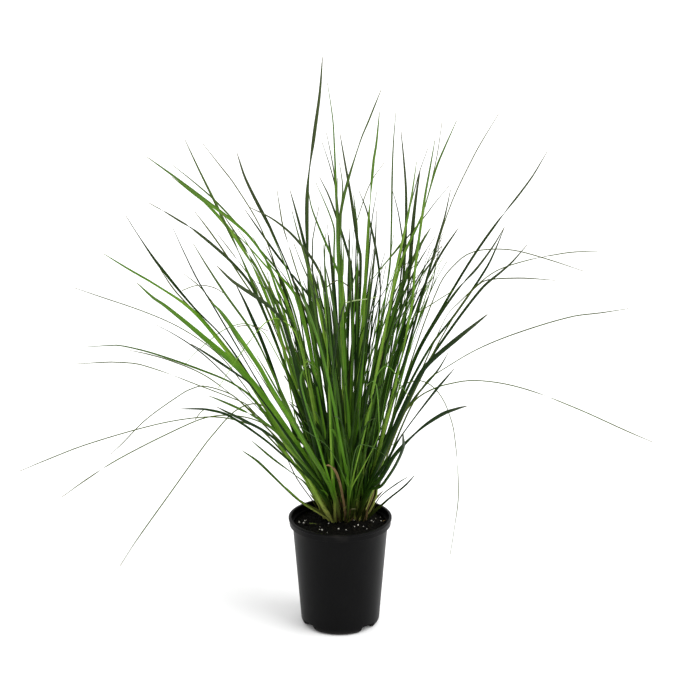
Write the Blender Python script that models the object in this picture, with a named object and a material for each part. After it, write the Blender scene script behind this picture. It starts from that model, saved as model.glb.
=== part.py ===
"""A potted ornamental grass clump: a nursery pot, its potting mix, and a round clump of leafy shoots.

Metres, +Z up. The origin is the middle of the pot's base, and the front of the clump faces -Y.
"""

import math
import random
from collections import namedtuple

import bmesh
import bpy
from mathutils import Matrix, Vector
from mathutils.bvhtree import BVHTree

MM = 0.001
SEED = 14

# Pot: a thin moulded nursery pot with a stepped-out collar and a lip. Its floor dips into four hollow feet,
# given by where each starts and ends, in degrees round from the middle of the front foot.
POT_HEIGHT = 153 * MM
RIM_RADIUS = 70 * MM
RIM_INNER_RADIUS = 66.2 * MM
RIM_EDGE = 0.8 * MM
LIP_HEIGHT = 3.2 * MM
COLLAR_RADIUS = 68.8 * MM
COLLAR_HEIGHT = 10 * MM
WALL = 1.5 * MM
WALL_TOP_RADIUS = 65.4 * MM
WALL_FOOT_RADIUS = 53.7 * MM
HEEL_RADIUS = 8 * MM
SKIRT_HEIGHT = 12 * MM
SKIRT_ROWS = (0.0, 0.3, 0.65, 1.0)
FEET = ((-34.4, 34.4), (67, 121), (153.6, 206.4), (239, 293))
FOOT_STEPS = 6
FRONT_FOOT_ANGLE = -94.4
FOOT_INNER_RADIUS = 24 * MM
FLOOR_UNDERSIDE = 10.5 * MM
FLOOR_Z = FLOOR_UNDERSIDE + WALL
ARCH_HEIGHT = 9 * MM
ARCH_SHOULDER = 5
DRAIN_RADIUS = 4 * MM
DRAIN_CIRCLE = 36 * MM
DRAIN_SIDES = 8

# Potting mix: it fills the pot to a little under the rim and is heaped flat where the shoots stand
GAP = 0.3 * MM
MIX_EDGE_DEPTH = 12 * MM
MIX_HEAP = 4 * MM
MIX_ROUGHNESS = 1.1 * MM
MIX_RING = 0.8
MIX_EDGE_Z = POT_HEIGHT - MIX_EDGE_DEPTH
CROWN_Z = MIX_EDGE_Z + MIX_HEAP

# Crown: the oval patch of the potting mix that the shoots stand on
CROWN_CENTRE = Vector((9 * MM, 24 * MM, 0))
CROWN_RADII = Vector((29 * MM, 25 * MM, 0))
CROWN_MARGIN = 5 * MM
SHOOT_COUNT = 44
GOLDEN_ANGLE = math.radians(137.508)
LOW_LEFT_PLACE = Vector((-0.8, -0.6))
LOW_RIGHT_PLACE = Vector((0.83, -0.44))

# Shoot: a short sheathed base that opens into a row of leaves
LEAVES_PER_SHOOT = 5
LEAF_PITCH = 1.5 * MM
SHEATH_HEIGHTS = (26 * MM, 44 * MM)
SHEATH_FOOT_WIDTH = 2.6 * MM
SHEATH_FOOT_SHARE = 0.7
SHEATH_END = 1.1
STEM_LENGTH = 24 * MM
STEEPEST_LEAN = 0.62
ROW_BIAS = 0.02
LOW_SHEATH_HEIGHT = 7 * MM
LOW_STEM_LENGTH = 7 * MM
LOW_STEEPEST_LEAN = 2.0
LOW_LEAF_FORWARD = 20 * MM
LEAN_AT_CROWN_EDGE = 0.56
FILL_LEAN = Vector((0.3, 0.62))
FILL_LEAN_SPREAD = Vector((0.05, 0.1))

# Leaf: a strap with a keel, widest in its middle and drawn out to a point
SLOT_WIDTH = 4.0 * MM
SLOT_SHARE = 0.12
BASE_WIDTHS = (3.0 * MM, 5.4 * MM)
READ_WIDTHS = (1.5 * MM, 4.5 * MM)
WIDEST_SHARE = 0.5
TAPER_START = 0.4
TAPER_POWER = 0.36
KEEL_SHARE = 0.24
KEEL_LEAST = 0.55 * MM
KEEL_TAPER = 0.3
LAST_RING_SHARE = 0.92
RING_SPACE = 0.03
FEWEST_RINGS = 3
MOST_READ_RINGS = 11
MOST_GROWN_RINGS = 7
WEIGHT_PER_RING = 5
STRAIGHT_WEIGHT = 0.35
BEND_WEIGHT = 9
COURSE_SAMPLES = 24
TANGENT_SHARE = 0.02
MOST_TURN = math.radians(35)
TURNS_TO_EYE = (-0.5, 0.5)
TWISTS = (math.radians(30), math.radians(130))

# Leaves that were read: how deep into the clump their tips stand, and how far they move to clear the others
READ_LENGTHS = (500 * MM, 640 * MM)
LEAST_OUT = 30 * MM
LEVEL_OUT_SHARE = 0.25
WIDE_LEAF = 3
DEPTH_POWER = 1.35
DEPTH_MARGIN = 5 * MM
AIM_HEIGHT = 120 * MM
LEAST_AIM = 10 * MM
CLEARANCE = 0.22 * MM
BULGES = (0, 4, -4, 8, -8, 12, -12, 17, -17, 23, -23, 30, -30, 38, -38)
TIP_SHIFTS = (0, 18, -18, 40, -40)

# Leaves that fill each shoot: they lean out, and droop more towards the tip
GROWN_TRIES = 60
GROWN_LENGTHS = (270 * MM, 500 * MM)
GROWN_WIDTHS = (2.0 * MM, 4.2 * MM)
GROWN_TURNS = (-1.2, 1.2)
GROWN_STEPS = 12
LEAN_SHARES = (0.5, 1.0)
LEAN_SPREAD = Vector((0.05, 0.07))
SPREAD_GROWTH = 0.06
DROOPS = (math.radians(6), math.radians(44))
DROOP_POWER = 2.2

# Overall reach: the leaves that reach furthest end the same distance either side of the pot
HALF_WIDTH = 425 * MM
HALF_DEPTH = 355 * MM

# Sight: the viewpoint from which the leaves were read, and the picture's focal length and middle in pixels
EYE = Vector((13.3 * MM, -2400 * MM, 1122 * MM))
EYE_PITCH = math.radians(17)
FOCAL_PX = 1903
MIDDLE_PX = 350

# The picture's dense middle, in pixels, where the leaves can't be told apart
CORE_TOP = 226
CORE_FOOT = 520
CORE_MIDDLE = 348
CORE_HALF_FOOT = 32
CORE_SPREAD = 0.27

Leaf = namedtuple("Leaf", "width side course reach", defaults=[None])
BACK, FRONT, LEVEL = 1, -1, 0

# Leaves that the picture shows one by one. Each has its widest width in mm, whether it leans to the back or
# the front, and its course in picture pixels from the tip down to where it is lost among the others. A reach
# of "width" or "depth" ends the leaf at the clump's half width or half depth.
TALL_LEAVES = [
    Leaf(4.6, LEVEL, [
        (322.5, 57), (320, 90), (315.5, 125), (311, 155),
        (307, 195), (306.5, 235), (310, 275), (311, 320),
    ]),
    Leaf(4.2, FRONT, [
        (327.5, 83), (330, 100), (333.5, 127), (334, 160),
        (335.5, 190), (338, 240), (340, 300),
    ]),
    Leaf(2.2, BACK, [(326.5, 133), (329, 145), (333.5, 170), (337, 205)]),
    Leaf(2.0, BACK, [(322, 142), (329, 163), (335, 185), (339, 215)]),
    Leaf(3.4, LEVEL, [(340, 134), (344, 158), (349, 185), (353, 212), (357, 240), (361, 265)]),
    Leaf(2.2, BACK, [(339.5, 163), (342.5, 182), (342, 205), (340, 230)]),
    Leaf(2.0, FRONT, [(337.5, 178), (337, 200), (336, 230)]),
    Leaf(2.6, BACK, [(319.5, 177), (328, 195), (337, 213), (344, 240), (350, 265), (354, 290)]),
    Leaf(1.8, BACK, [(316, 183), (325, 203), (332, 221), (335, 235), (334, 260)]),
    Leaf(1.6, FRONT, [(319, 206.5), (316.5, 218), (315, 226), (313, 240), (311, 262)]),
    Leaf(2.2, BACK, [(308, 188), (311, 203), (315, 224), (320, 234), (329, 251), (339, 275), (345, 300)]),
    Leaf(3.0, BACK, [(290, 190), (295, 208), (299, 222), (303, 238), (307, 256), (311, 280)]),
    Leaf(2.0, FRONT, [(292, 211), (296, 225), (299, 238), (303, 250), (309, 275)]),
    Leaf(2.2, BACK, [(277, 190), (281.5, 219), (284, 231), (291, 255), (299, 276), (305, 300), (307, 312)]),
    Leaf(3.0, LEVEL, [
        (381, 90), (373, 110), (365, 130), (357, 149),
        (350, 169), (346, 188), (341, 213), (339, 245),
    ]),
    Leaf(3.6, FRONT, [(379.5, 112), (376, 148), (372, 173), (369.5, 198), (368, 235), (367, 270)]),
    Leaf(1.6, BACK, [(384, 163), (375, 175), (366, 192), (358, 217), (352, 245)]),
    Leaf(2.4, BACK, [(359, 191), (366, 208), (372, 235), (378, 262), (381, 285)]),
    Leaf(1.8, BACK, [(377, 191), (373, 213), (370, 240)], "depth"),
    Leaf(2.2, FRONT, [(376.5, 211), (375.5, 240), (374, 265)]),
    Leaf(2.8, BACK, [(353.5, 195), (356, 219), (357.5, 245)]),
    Leaf(2.6, FRONT, [(325.5, 234), (325, 247), (324.5, 262), (326, 285)]),
    Leaf(1.8, BACK, [(327, 222), (328.5, 240), (331, 262), (333, 290)]),
    Leaf(2.0, FRONT, [(294, 244), (301, 262), (309, 280), (319, 303), (325, 320)], "depth"),
    Leaf(2.0, FRONT, [(318, 268), (321, 280), (325, 305)]),
]
UPPER_LEFT_LEAVES = [
    Leaf(3.6, LEVEL, [
        (237, 153), (244, 174), (251, 192), (262, 212),
        (277, 242), (290, 272), (301, 303), (306, 325),
    ]),
    Leaf(1.8, BACK, [(203, 144), (225, 172), (245, 199), (262, 231), (274, 262), (281, 285), (286, 310)]),
    Leaf(2.2, FRONT, [
        (249, 207), (262, 212), (272, 218.5), (286, 230),
        (300, 243), (310, 257), (322, 277), (328, 295),
    ]),
    Leaf(2.4, BACK, [(244.5, 209), (257, 227), (272, 249), (288, 269), (303, 289), (316, 309)]),
    Leaf(3.6, FRONT, [
        (147, 157), (160, 166), (180, 181), (200, 196),
        (220, 213), (250, 237), (271, 267), (300, 304),
    ]),
    Leaf(3.9, LEVEL, [(172, 177), (190, 191), (210, 207), (224, 224), (250, 258), (262, 286), (272, 311)]),
    Leaf(2.0, BACK, [(172.5, 165), (190, 179), (208, 194), (230, 216), (253, 241), (278, 272), (288, 288)]),
    Leaf(2.6, BACK, [(185, 140), (200, 172), (220, 213), (238, 250), (257, 295), (267, 318)]),
    Leaf(3.0, FRONT, [(149, 203), (170, 215), (200, 235), (230, 260), (250, 286), (264, 308)]),
    Leaf(3.6, LEVEL, [(126, 216), (148, 250), (165, 273), (188, 301), (210, 324), (225, 340), (246, 371)]),
    Leaf(2.4, BACK, [(160, 269), (170, 284), (183, 300), (205, 323), (222, 345), (238, 366)]),
    Leaf(3.2, FRONT, [
        (104, 254), (130, 270), (160, 287.5), (180, 300),
        (200, 318), (216, 337), (240, 366),
    ]),
    Leaf(5.0, FRONT, [
        (137, 283), (152, 297), (170, 309.5), (190, 327),
        (210, 343), (230, 361.5), (258, 390),
    ]),
    Leaf(2.6, BACK, [(195, 212), (208, 229), (229, 259), (245, 284), (263, 309)]),
    Leaf(1.8, BACK, [(172.5, 227), (189, 263), (200, 284), (212, 303), (222, 322)]),
    Leaf(2.0, FRONT, [(193.5, 244), (210, 271), (230, 301), (250, 329), (260, 346)]),
    Leaf(1.8, BACK, [(216, 232), (229, 249), (243, 268), (260, 291)]),
    Leaf(3.6, FRONT, [(217, 266), (225, 274), (235, 283), (252, 294), (270, 307), (283, 322)]),
    Leaf(3.2, LEVEL, [(235.5, 284), (240, 292), (246, 305), (258, 332), (268, 357)]),
    Leaf(1.6, BACK, [(166, 252), (185, 269), (203, 290), (216, 309)]),
    Leaf(1.8, BACK, [(184, 274), (200, 287), (218, 310), (233, 333)]),
    Leaf(2.4, FRONT, [(222, 213), (242, 243), (255, 265), (270, 293)]),
    Leaf(1.8, BACK, [(232, 230), (250, 248), (270, 272), (284, 292)]),
    Leaf(4.0, FRONT, [(210, 301), (222, 313), (240, 339), (258, 365), (270, 386)]),
    Leaf(2.0, BACK, [(211, 303), (218, 317), (233, 343), (245, 362)]),
    Leaf(2.2, BACK, [(236, 246), (250, 276), (266, 308)]),
    Leaf(1.6, FRONT, [(257, 356), (263, 366), (272, 381)]),
]
LEFT_LEAVES = [
    Leaf(1.6, BACK, [(75, 288), (110, 300), (145, 312), (175, 325), (200, 340), (228, 364)]),
    Leaf(1.6, BACK, [(157, 325.5), (170, 332), (190, 344.5), (210, 360)]),
    Leaf(1.6, BACK, [(157, 336), (180, 347.5), (205, 359), (226, 374)]),
    Leaf(2.3, FRONT, [(191, 344), (210, 356), (230, 370), (252, 387)]),
    Leaf(3.2, LEVEL, [
        (85, 347), (110, 345.5), (130, 346.5), (160, 355.5),
        (190, 366), (222, 378.5), (252, 397),
    ]),
    Leaf(2.0, BACK, [(130, 350.5), (147, 354), (165, 359), (195, 370), (220, 386), (250, 410)]),
    Leaf(1.7, LEVEL, [(76, 364), (100, 362.5), (130, 363), (160, 370), (200, 386), (232, 398), (252, 409)]),
    Leaf(2.3, FRONT, [(209, 396), (230, 404.5), (250, 415), (274, 430)]),
    Leaf(2.4, FRONT, [(217, 407), (235, 416), (255, 426), (280, 443)]),
    Leaf(2.6, FRONT, [(180, 409), (204, 409.3), (225, 414), (245, 426), (265, 440), (293, 464)]),
    Leaf(1.8, BACK, [(243, 396), (258, 404.5), (270, 412)]),
    Leaf(1.7, LEVEL, [
        (20, 471), (50, 458.5), (85, 445), (130, 431.5),
        (170, 421.5), (210, 417), (240, 421), (268, 435),
    ], "width"),
    Leaf(1.8, FRONT, [
        (62, 497), (102, 469), (140, 447.5), (180, 428),
        (205, 418), (226, 415), (255, 420), (277, 433),
    ]),
    Leaf(1.7, BACK, [
        (111, 454), (130, 436), (146, 419.5), (170, 401),
        (190, 389.5), (205, 386), (226, 392), (248, 408),
    ]),
    Leaf(1.8, FRONT, [
        (120, 566), (150, 520), (180, 480), (200, 451),
        (217, 430), (235, 411), (254, 404), (280, 415),
    ]),
    Leaf(1.4, BACK, [(184, 366), (197, 351), (208, 342), (222, 331), (240, 324), (256, 327), (272, 344)]),
    Leaf(1.6, FRONT, [(218, 388), (233, 365), (246, 346), (264, 324), (276, 318), (290, 326), (300, 345)]),
]
UPPER_RIGHT_LEAVES = [
    Leaf(1.8, BACK, [(396, 111), (393, 150), (392, 190), (391, 245), (389, 275)]),
    Leaf(2.0, BACK, [(391.5, 187), (398, 211), (402, 235), (404, 265)]),
    Leaf(3.2, LEVEL, [(401, 131), (405.5, 180), (406.5, 220), (404, 262), (402, 297), (398, 330)]),
    Leaf(3.4, FRONT, [(416.5, 162), (411, 200), (402, 245), (394, 280), (388, 315)]),
    Leaf(3.6, LEVEL, [(420.5, 168), (415, 205), (411, 250), (408, 290), (401, 340)]),
    Leaf(1.6, BACK, [(428, 148), (420, 170), (412, 200), (406, 225)]),
    Leaf(2.6, FRONT, [(435, 140), (428, 180), (420, 228), (415, 270), (409, 325)]),
    Leaf(2.8, FRONT, [(456.5, 121), (444, 149), (432, 180), (421, 218), (410, 243), (397, 275)]),
    Leaf(1.6, BACK, [(449, 186), (430, 209), (415, 231), (395, 252), (376, 281)]),
    Leaf(2.7, LEVEL, [(450.5, 190), (444, 220), (436, 245), (427, 275), (420, 305), (412, 335)]),
    Leaf(2.6, FRONT, [(440, 240), (437, 258), (432, 285), (424, 310), (414, 340)]),
    Leaf(1.6, BACK, [(433, 256), (434, 275), (432, 300), (427, 332)]),
    Leaf(1.6, BACK, [(440, 267), (436, 278), (428, 298)]),
    Leaf(2.1, FRONT, [(421, 281), (412, 300), (401, 322)]),
    Leaf(1.6, BACK, [(498.5, 114), (477, 150), (457, 190), (447, 215), (438, 243)]),
    Leaf(2.8, LEVEL, [
        (547, 152), (530, 180), (505, 210), (481, 245),
        (461, 275), (445, 302), (429, 332), (413, 362),
    ]),
    Leaf(2.7, FRONT, [(504, 228), (490, 251), (470, 277), (450, 300), (432, 330), (417, 355)]),
    Leaf(2.8, BACK, [(504.5, 227), (495, 250), (479, 281), (459, 309), (440, 334), (421, 360)]),
    Leaf(2.8, FRONT, [(527, 245), (508, 266), (488, 282), (468, 304), (449, 331), (431, 358), (420, 378)]),
    Leaf(1.4, BACK, [(442, 122), (439, 145), (433, 175), (426, 205)]),
    Leaf(1.6, BACK, [(390, 262), (386, 290), (383, 310)]),
    Leaf(1.6, FRONT, [(386, 265), (380, 295), (376, 320)]),
]
RIGHT_LEAVES = [
    Leaf(1.8, BACK, [
        (605, 251), (570, 252.5), (540, 258), (510, 265.5),
        (485, 278), (463, 298), (437, 331),
    ]),
    Leaf(1.7, BACK, [
        (583, 271), (550, 260), (520, 251.5), (500, 249.2),
        (473, 252), (453, 266), (435, 293), (424, 322),
    ]),
    Leaf(1.8, FRONT, [(555, 280.3), (535, 278.5), (505, 278.5), (482, 282), (464, 301), (448, 322)]),
    Leaf(1.9, LEVEL, [
        (628.6, 308.6), (600, 313), (560, 319), (520, 332),
        (480, 348), (445, 368), (420, 389),
    ]),
    Leaf(4.2, FRONT, [(487.5, 314.3), (468, 330), (448, 346), (431, 361), (415, 383)]),
    Leaf(1.8, LEVEL, [
        (653.5, 442.5), (600, 419.5), (550, 397), (510, 385),
        (480, 380.5), (450, 383.5), (422, 395), (402, 415),
    ], "width"),
    Leaf(2.0, BACK, [(448, 353), (438, 370), (422, 389), (405, 411)]),
    Leaf(2.1, FRONT, [(454, 369), (435, 391), (412, 421), (398, 441), (385, 464)]),
    Leaf(3.2, FRONT, [(467, 406), (450, 411), (430, 421), (410, 439), (391, 460), (381, 479)]),
    Leaf(1.5, BACK, [
        (450, 555), (458, 500), (457, 450), (448, 411),
        (437, 391), (422, 381), (406, 384), (392, 400),
    ]),
    Leaf(3.2, FRONT, [(403, 433), (403, 449), (394, 468), (380, 487)]),
    Leaf(1.6, BACK, [(394, 443.5), (387, 449), (378, 458)]),
]
MIDDLE_LEAVES = [
    Leaf(2.6, FRONT, [(366, 386), (371, 380), (376, 385), (378, 397), (379, 418), (377, 440)]),
    Leaf(2.4, FRONT, [(409, 396), (402, 388), (395, 373), (386, 366), (378, 370), (373, 386), (370, 410)]),
    Leaf(2.2, FRONT, [(317, 375), (311, 364), (303, 367), (301, 384), (308, 410)]),
    Leaf(1.5, FRONT, [(292, 422), (315, 437), (330, 449), (340, 468)]),
    Leaf(1.5, FRONT, [(387.5, 457), (370, 446), (358, 446), (353, 462)]),
]
LOW_LEFT_LEAVES = [
    Leaf(2.2, FRONT, [(252, 441), (270, 456.5), (292, 473), (308, 486)]),
    Leaf(1.9, FRONT, [(274, 472), (290, 489), (306, 502)]),
    Leaf(2.5, FRONT, [(242, 450.5), (260, 463), (280, 483), (300, 501)]),
]
LOW_RIGHT_LEAVES = [
    Leaf(2.2, FRONT, [(407.5, 477), (395, 485), (380, 497)]),
    Leaf(2.4, FRONT, [(414.5, 475.5), (405, 486), (390, 498)]),
]


Body = namedtuple("Body", "tree low high")
Wish = namedtuple("Wish", "shoot index heading leaf depth")
GrownLeaf = namedtuple("GrownLeaf", "index rings tip")


def clear_scene():
    """Removes every object of the scene."""
    for obj in list(bpy.data.objects):
        bpy.data.objects.remove(obj, do_unlink=True)


def material(name, colour, roughness):
    """A plain Principled material in one colour."""
    made = bpy.data.materials.new(name)
    made.use_nodes = True
    shader = made.node_tree.nodes["Principled BSDF"]
    shader.inputs["Base Color"].default_value = (*colour, 1.0)
    shader.inputs["Roughness"].default_value = roughness
    shader.inputs["Metallic"].default_value = 0.0
    return made


def add_object(name, vertices, faces, surface):
    """A closed mesh object with its faces pointing out."""
    mesh = bpy.data.meshes.new(name)
    mesh.from_pydata([tuple(v) for v in vertices], [], faces)
    work = bmesh.new()
    work.from_mesh(mesh)
    bmesh.ops.recalc_face_normals(work, faces=work.faces)
    if work.calc_volume(signed=True) < 0:
        bmesh.ops.reverse_faces(work, faces=work.faces)
    work.to_mesh(mesh)
    work.free()
    mesh.materials.append(surface)
    obj = bpy.data.objects.new(name, mesh)
    bpy.context.scene.collection.objects.link(obj)
    return obj


def lerp(a, b, share):
    """The value a share of the way from a to b."""
    return a + (b - a) * share


def smoothstep(share):
    """0 to 1 with level ends."""
    share = min(max(share, 0.0), 1.0)
    return share * share * (3 - 2 * share)


def polar(radius, angle, z):
    """A point from its distance and direction from the pot's axis."""
    return Vector((radius * math.cos(angle), radius * math.sin(angle), z))


def rings_to_solid(rings):
    """Vertices and faces of a solid made of rings of equal count, closed by a middle point at each end."""
    count = len(rings[0])
    vertices = [point for ring in rings for point in ring]
    faces = []
    for row in range(len(rings) - 1):
        for i in range(count):
            j = (i + 1) % count
            low, high = row * count, (row + 1) * count
            faces.append((low + i, low + j, high + j, high + i))
    for ring, start in ((rings[0], 0), (rings[-1], (len(rings) - 1) * count)):
        middle = len(vertices)
        vertices.append(sum(ring, Vector()) / count)
        faces.extend((start + i, start + (i + 1) % count, middle) for i in range(count))
    return vertices, faces


# Pot


def arches():
    """Where each arch between two feet starts and ends, in degrees round from the front foot's middle."""
    starts = [start for start, _ in FEET[1:]] + [FEET[0][0] + 360]
    return [(end, start) for (_, end), start in zip(FEET, starts)]


def side_lines():
    """The directions of the pot's side lines, each with how far its lower edge is lifted by an arch."""
    turns = []
    for foot, arch in zip(FEET, arches()):
        turns += [(lerp(*foot, i / FOOT_STEPS), 0.0) for i in range(FOOT_STEPS + 1)]
        turns.append((arch[0] + ARCH_SHOULDER, ARCH_HEIGHT))
        turns.append((sum(arch) / 2, ARCH_HEIGHT))
        turns.append((arch[1] - ARCH_SHOULDER, ARCH_HEIGHT))
    return [(math.radians(FRONT_FOOT_ANGLE + turn), lift) for turn, lift in turns]


def wall_radius(z):
    """The outer radius of the tapered wall at a height, with its rounded heel."""
    if z < HEEL_RADIUS:
        return WALL_FOOT_RADIUS - HEEL_RADIUS + math.sqrt(HEEL_RADIUS**2 - (HEEL_RADIUS - z) ** 2)
    return lerp(WALL_FOOT_RADIUS, WALL_TOP_RADIUS, (z - HEEL_RADIUS) / (POT_HEIGHT - HEEL_RADIUS))


def pot_section(lift):
    """The pot's section, as radius and height, from under the floor, round the rim, to the floor's top."""
    top = POT_HEIGHT
    foot_floor = lift + WALL
    collar_foot = top - COLLAR_HEIGHT
    ledge = collar_foot + WALL
    section = [(FOOT_INNER_RADIUS, FLOOR_UNDERSIDE), (FOOT_INNER_RADIUS, lift)]
    for share in SKIRT_ROWS:
        z = lerp(lift, SKIRT_HEIGHT, share)
        section.append((wall_radius(z), z))
    section += [
        (wall_radius(collar_foot), collar_foot),
        (COLLAR_RADIUS - RIM_EDGE, collar_foot),
        (COLLAR_RADIUS, collar_foot + RIM_EDGE),
        (COLLAR_RADIUS, top - LIP_HEIGHT),
        (RIM_RADIUS, top - LIP_HEIGHT + RIM_EDGE / 2),
        (RIM_RADIUS, top - RIM_EDGE),
        (RIM_RADIUS - RIM_EDGE, top),
        (RIM_INNER_RADIUS + RIM_EDGE, top),
        (RIM_INNER_RADIUS, top - RIM_EDGE),
        (RIM_INNER_RADIUS, ledge),
        (wall_radius(ledge) - WALL, ledge),
        (wall_radius(FLOOR_Z) - WALL, FLOOR_Z),
        (wall_radius(foot_floor) - WALL, foot_floor),
        (FOOT_INNER_RADIUS + WALL, foot_floor),
        (FOOT_INNER_RADIUS + WALL, FLOOR_Z),
    ]
    return section


def build_pot():
    """The pot as one moulded solid, with a drain hole behind each arch."""
    lines = side_lines()
    sections = [pot_section(lift) for _, lift in lines]
    rings = [
        [polar(section[row][0], angle, section[row][1]) for (angle, _), section in zip(lines, sections)]
        for row in range(len(sections[0]))
    ]
    plastic = material("black_plastic", (0.012, 0.012, 0.013), 0.38)
    pot = add_object("pot", *rings_to_solid(rings), plastic)
    for i, arch in enumerate(arches()):
        angle = math.radians(FRONT_FOOT_ANGLE + sum(arch) / 2)
        cut_drain(pot, f"drain_{i + 1}", polar(DRAIN_CIRCLE, angle, ARCH_HEIGHT))
    return pot


def cut_drain(pot, name, place):
    """Cuts one round drain hole through the floor."""
    rings = []
    for z in (place.z - WALL, place.z + 2 * WALL):
        turns = [math.tau * i / DRAIN_SIDES for i in range(DRAIN_SIDES)]
        rings.append([Vector((place.x, place.y, 0)) + polar(DRAIN_RADIUS, turn, z) for turn in turns])
    cutter = add_object(name, *rings_to_solid(rings), pot.data.materials[0])
    cutter.hide_render = True
    cutter.display_type = "WIRE"
    cut = pot.modifiers.new(name, "BOOLEAN")
    cut.operation = "DIFFERENCE"
    cut.solver = "EXACT"
    cut.object = cutter


# Potting mix


def build_potting_mix(dice):
    """The potting mix: a plug with a rough top that is level under the shoots."""
    angles = [angle for angle, _ in side_lines()]

    def wall_ring(z):
        return [polar(wall_radius(z) - WALL - GAP, angle, z) for angle in angles]

    edge = wall_ring(MIX_EDGE_Z)
    heap = []
    for angle in angles:
        out = Vector((math.cos(angle) * CROWN_RADII.x, math.sin(angle) * CROWN_RADII.y, 0))
        heap.append(CROWN_CENTRE + out + out.normalized() * CROWN_MARGIN + Vector((0, 0, CROWN_Z)))
    slope = [lerp(h, e, MIX_RING) for h, e in zip(heap, edge)]
    for point in slope:
        point.z = MIX_EDGE_Z + dice.uniform(0, MIX_ROUGHNESS)
    for point in heap:
        point.z -= dice.uniform(0, MIX_ROUGHNESS)
    rings = [wall_ring(FLOOR_Z + GAP), edge, slope, heap]
    vertices, faces = rings_to_solid(rings)
    vertices[-1].z = CROWN_Z
    surface = material("potting_mix", (0.018, 0.012, 0.008), 0.95)
    return add_object("potting_mix", vertices, faces, surface)


# Sight lines


def sight_point(pixel, depth):
    """The point at world y = depth that shows at a pixel of the picture."""
    right = Vector((1, 0, 0))
    ahead = Vector((0, math.cos(EYE_PITCH), -math.sin(EYE_PITCH)))
    up = right.cross(ahead)
    across, down = ((value - MIDDLE_PX) / FOCAL_PX for value in pixel)
    ray = ahead + right * across - up * down
    return EYE + ray * ((depth - EYE.y) / ray.y)


def picture_pixel(point):
    """The pixel of the picture at which a point shows."""
    seen = Matrix.Rotation(EYE_PITCH, 3, "X") @ (point - EYE)
    return Vector((MIDDLE_PX + FOCAL_PX * seen.x / seen.y, MIDDLE_PX - FOCAL_PX * seen.z / seen.y))


# Leaf courses


def smooth_course(knots, steps=8):
    """Points along a smooth curve through the knots."""
    ends = [knots[0] * 2 - knots[1], *knots, knots[-1] * 2 - knots[-2]]
    course = [knots[0].copy()]
    for before, a, b, after in zip(ends, ends[1:], ends[2:], ends[3:]):
        span = (b - a).length
        leave = (b - before).normalized() * span
        arrive = (after - a).normalized() * span
        for i in range(1, steps + 1):
            t = i / steps
            course.append(
                a * (2 * t**3 - 3 * t**2 + 1)
                + leave * (t**3 - 2 * t**2 + t)
                + b * (3 * t**2 - 2 * t**3)
                + arrive * (t**3 - t**2)
            )
    return course


def course_length(course):
    """The length of a course."""
    return sum((b - a).length for a, b in zip(course, course[1:]))


def at_share(course, share):
    """The point at a share of a course's length."""
    wanted = course_length(course) * share
    for a, b in zip(course, course[1:]):
        step = (b - a).length
        if step >= wanted:
            return a.lerp(b, wanted / step)
        wanted -= step
    return course[-1].copy()


def read_course(leaf, shoot, start, tip_depth, bulge):
    """The course of a leaf read from the picture, from its slot in the sheath to its tip."""
    pixels = [Vector(pixel) for pixel in reversed(leaf.course)]
    stem = start + shoot.heading * shoot.stem_length
    path = [picture_pixel(start), picture_pixel(stem), *pixels]
    total = course_length(path)
    knots = [start, stem]
    for i, pixel in enumerate(pixels):
        share = course_length(path[: i + 3]) / total
        depth = lerp(start.y, tip_depth, share**DEPTH_POWER) + bulge * math.sin(math.pi * share)
        knots.append(sight_point(pixel, depth))
    return smooth_course(knots)


def grown_course(shoot, start, lean_out, lean_share, droop, length):
    """The course of a leaf that follows the rule: it leans out and then bends over under its own weight."""
    out = lean_out.normalized()
    lean = math.atan(lean_out.length) * lean_share
    point = start + shoot.heading * shoot.stem_length
    knots = [start, point]
    for i in range(1, GROWN_STEPS + 1):
        angle = lean + droop * (i / GROWN_STEPS) ** DROOP_POWER
        ahead = Vector((out.x * math.sin(angle), out.y * math.sin(angle), math.cos(angle)))
        point = point + ahead * length / GROWN_STEPS
        knots.append(point)
    return smooth_course(knots, steps=2)


def ring_shares(course, most):
    """Where a leaf's rings stand along its course: closer together where it bends."""
    samples = [at_share(course, i / COURSE_SAMPLES) for i in range(COURSE_SAMPLES + 1)]
    bends = [(b - a).angle(c - b, 0.0) for a, b, c in zip(samples, samples[1:], samples[2:])]
    weights = [STRAIGHT_WEIGHT + bend * BEND_WEIGHT for bend in [bends[0], *bends]]
    total = sum(weights)
    count = min(FEWEST_RINGS + round(total / WEIGHT_PER_RING), most)
    shares = [0.0]
    gathered = 0.0
    for i, weight in enumerate(weights):
        gathered += weight
        share = (i + 1) / COURSE_SAMPLES
        if gathered * count >= total * len(shares) and share < LAST_RING_SHARE - RING_SPACE:
            shares.append(share)
    return shares + [LAST_RING_SHARE]


def leaf_width(widest, share):
    """The width of a leaf at a share of its length."""
    stoutness = (widest - READ_WIDTHS[0]) / (READ_WIDTHS[1] - READ_WIDTHS[0])
    low_width = lerp(*BASE_WIDTHS, stoutness)
    swell = lerp(SLOT_WIDTH, low_width, smoothstep(share / SLOT_SHARE))
    left = 1 - max(share - TAPER_START, 0.0) / (1 - TAPER_START)
    return lerp(swell, widest, smoothstep(share / WIDEST_SHARE)) * left**TAPER_POWER


def turned(side, target):
    """A leaf's side direction, turned towards a target or its opposite by no more than a ring may twist."""
    if side.dot(target) < 0:
        target = -target
    angle = side.angle(target, 0.0)
    return side.slerp(target, MOST_TURN / angle) if angle > MOST_TURN else target


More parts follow.
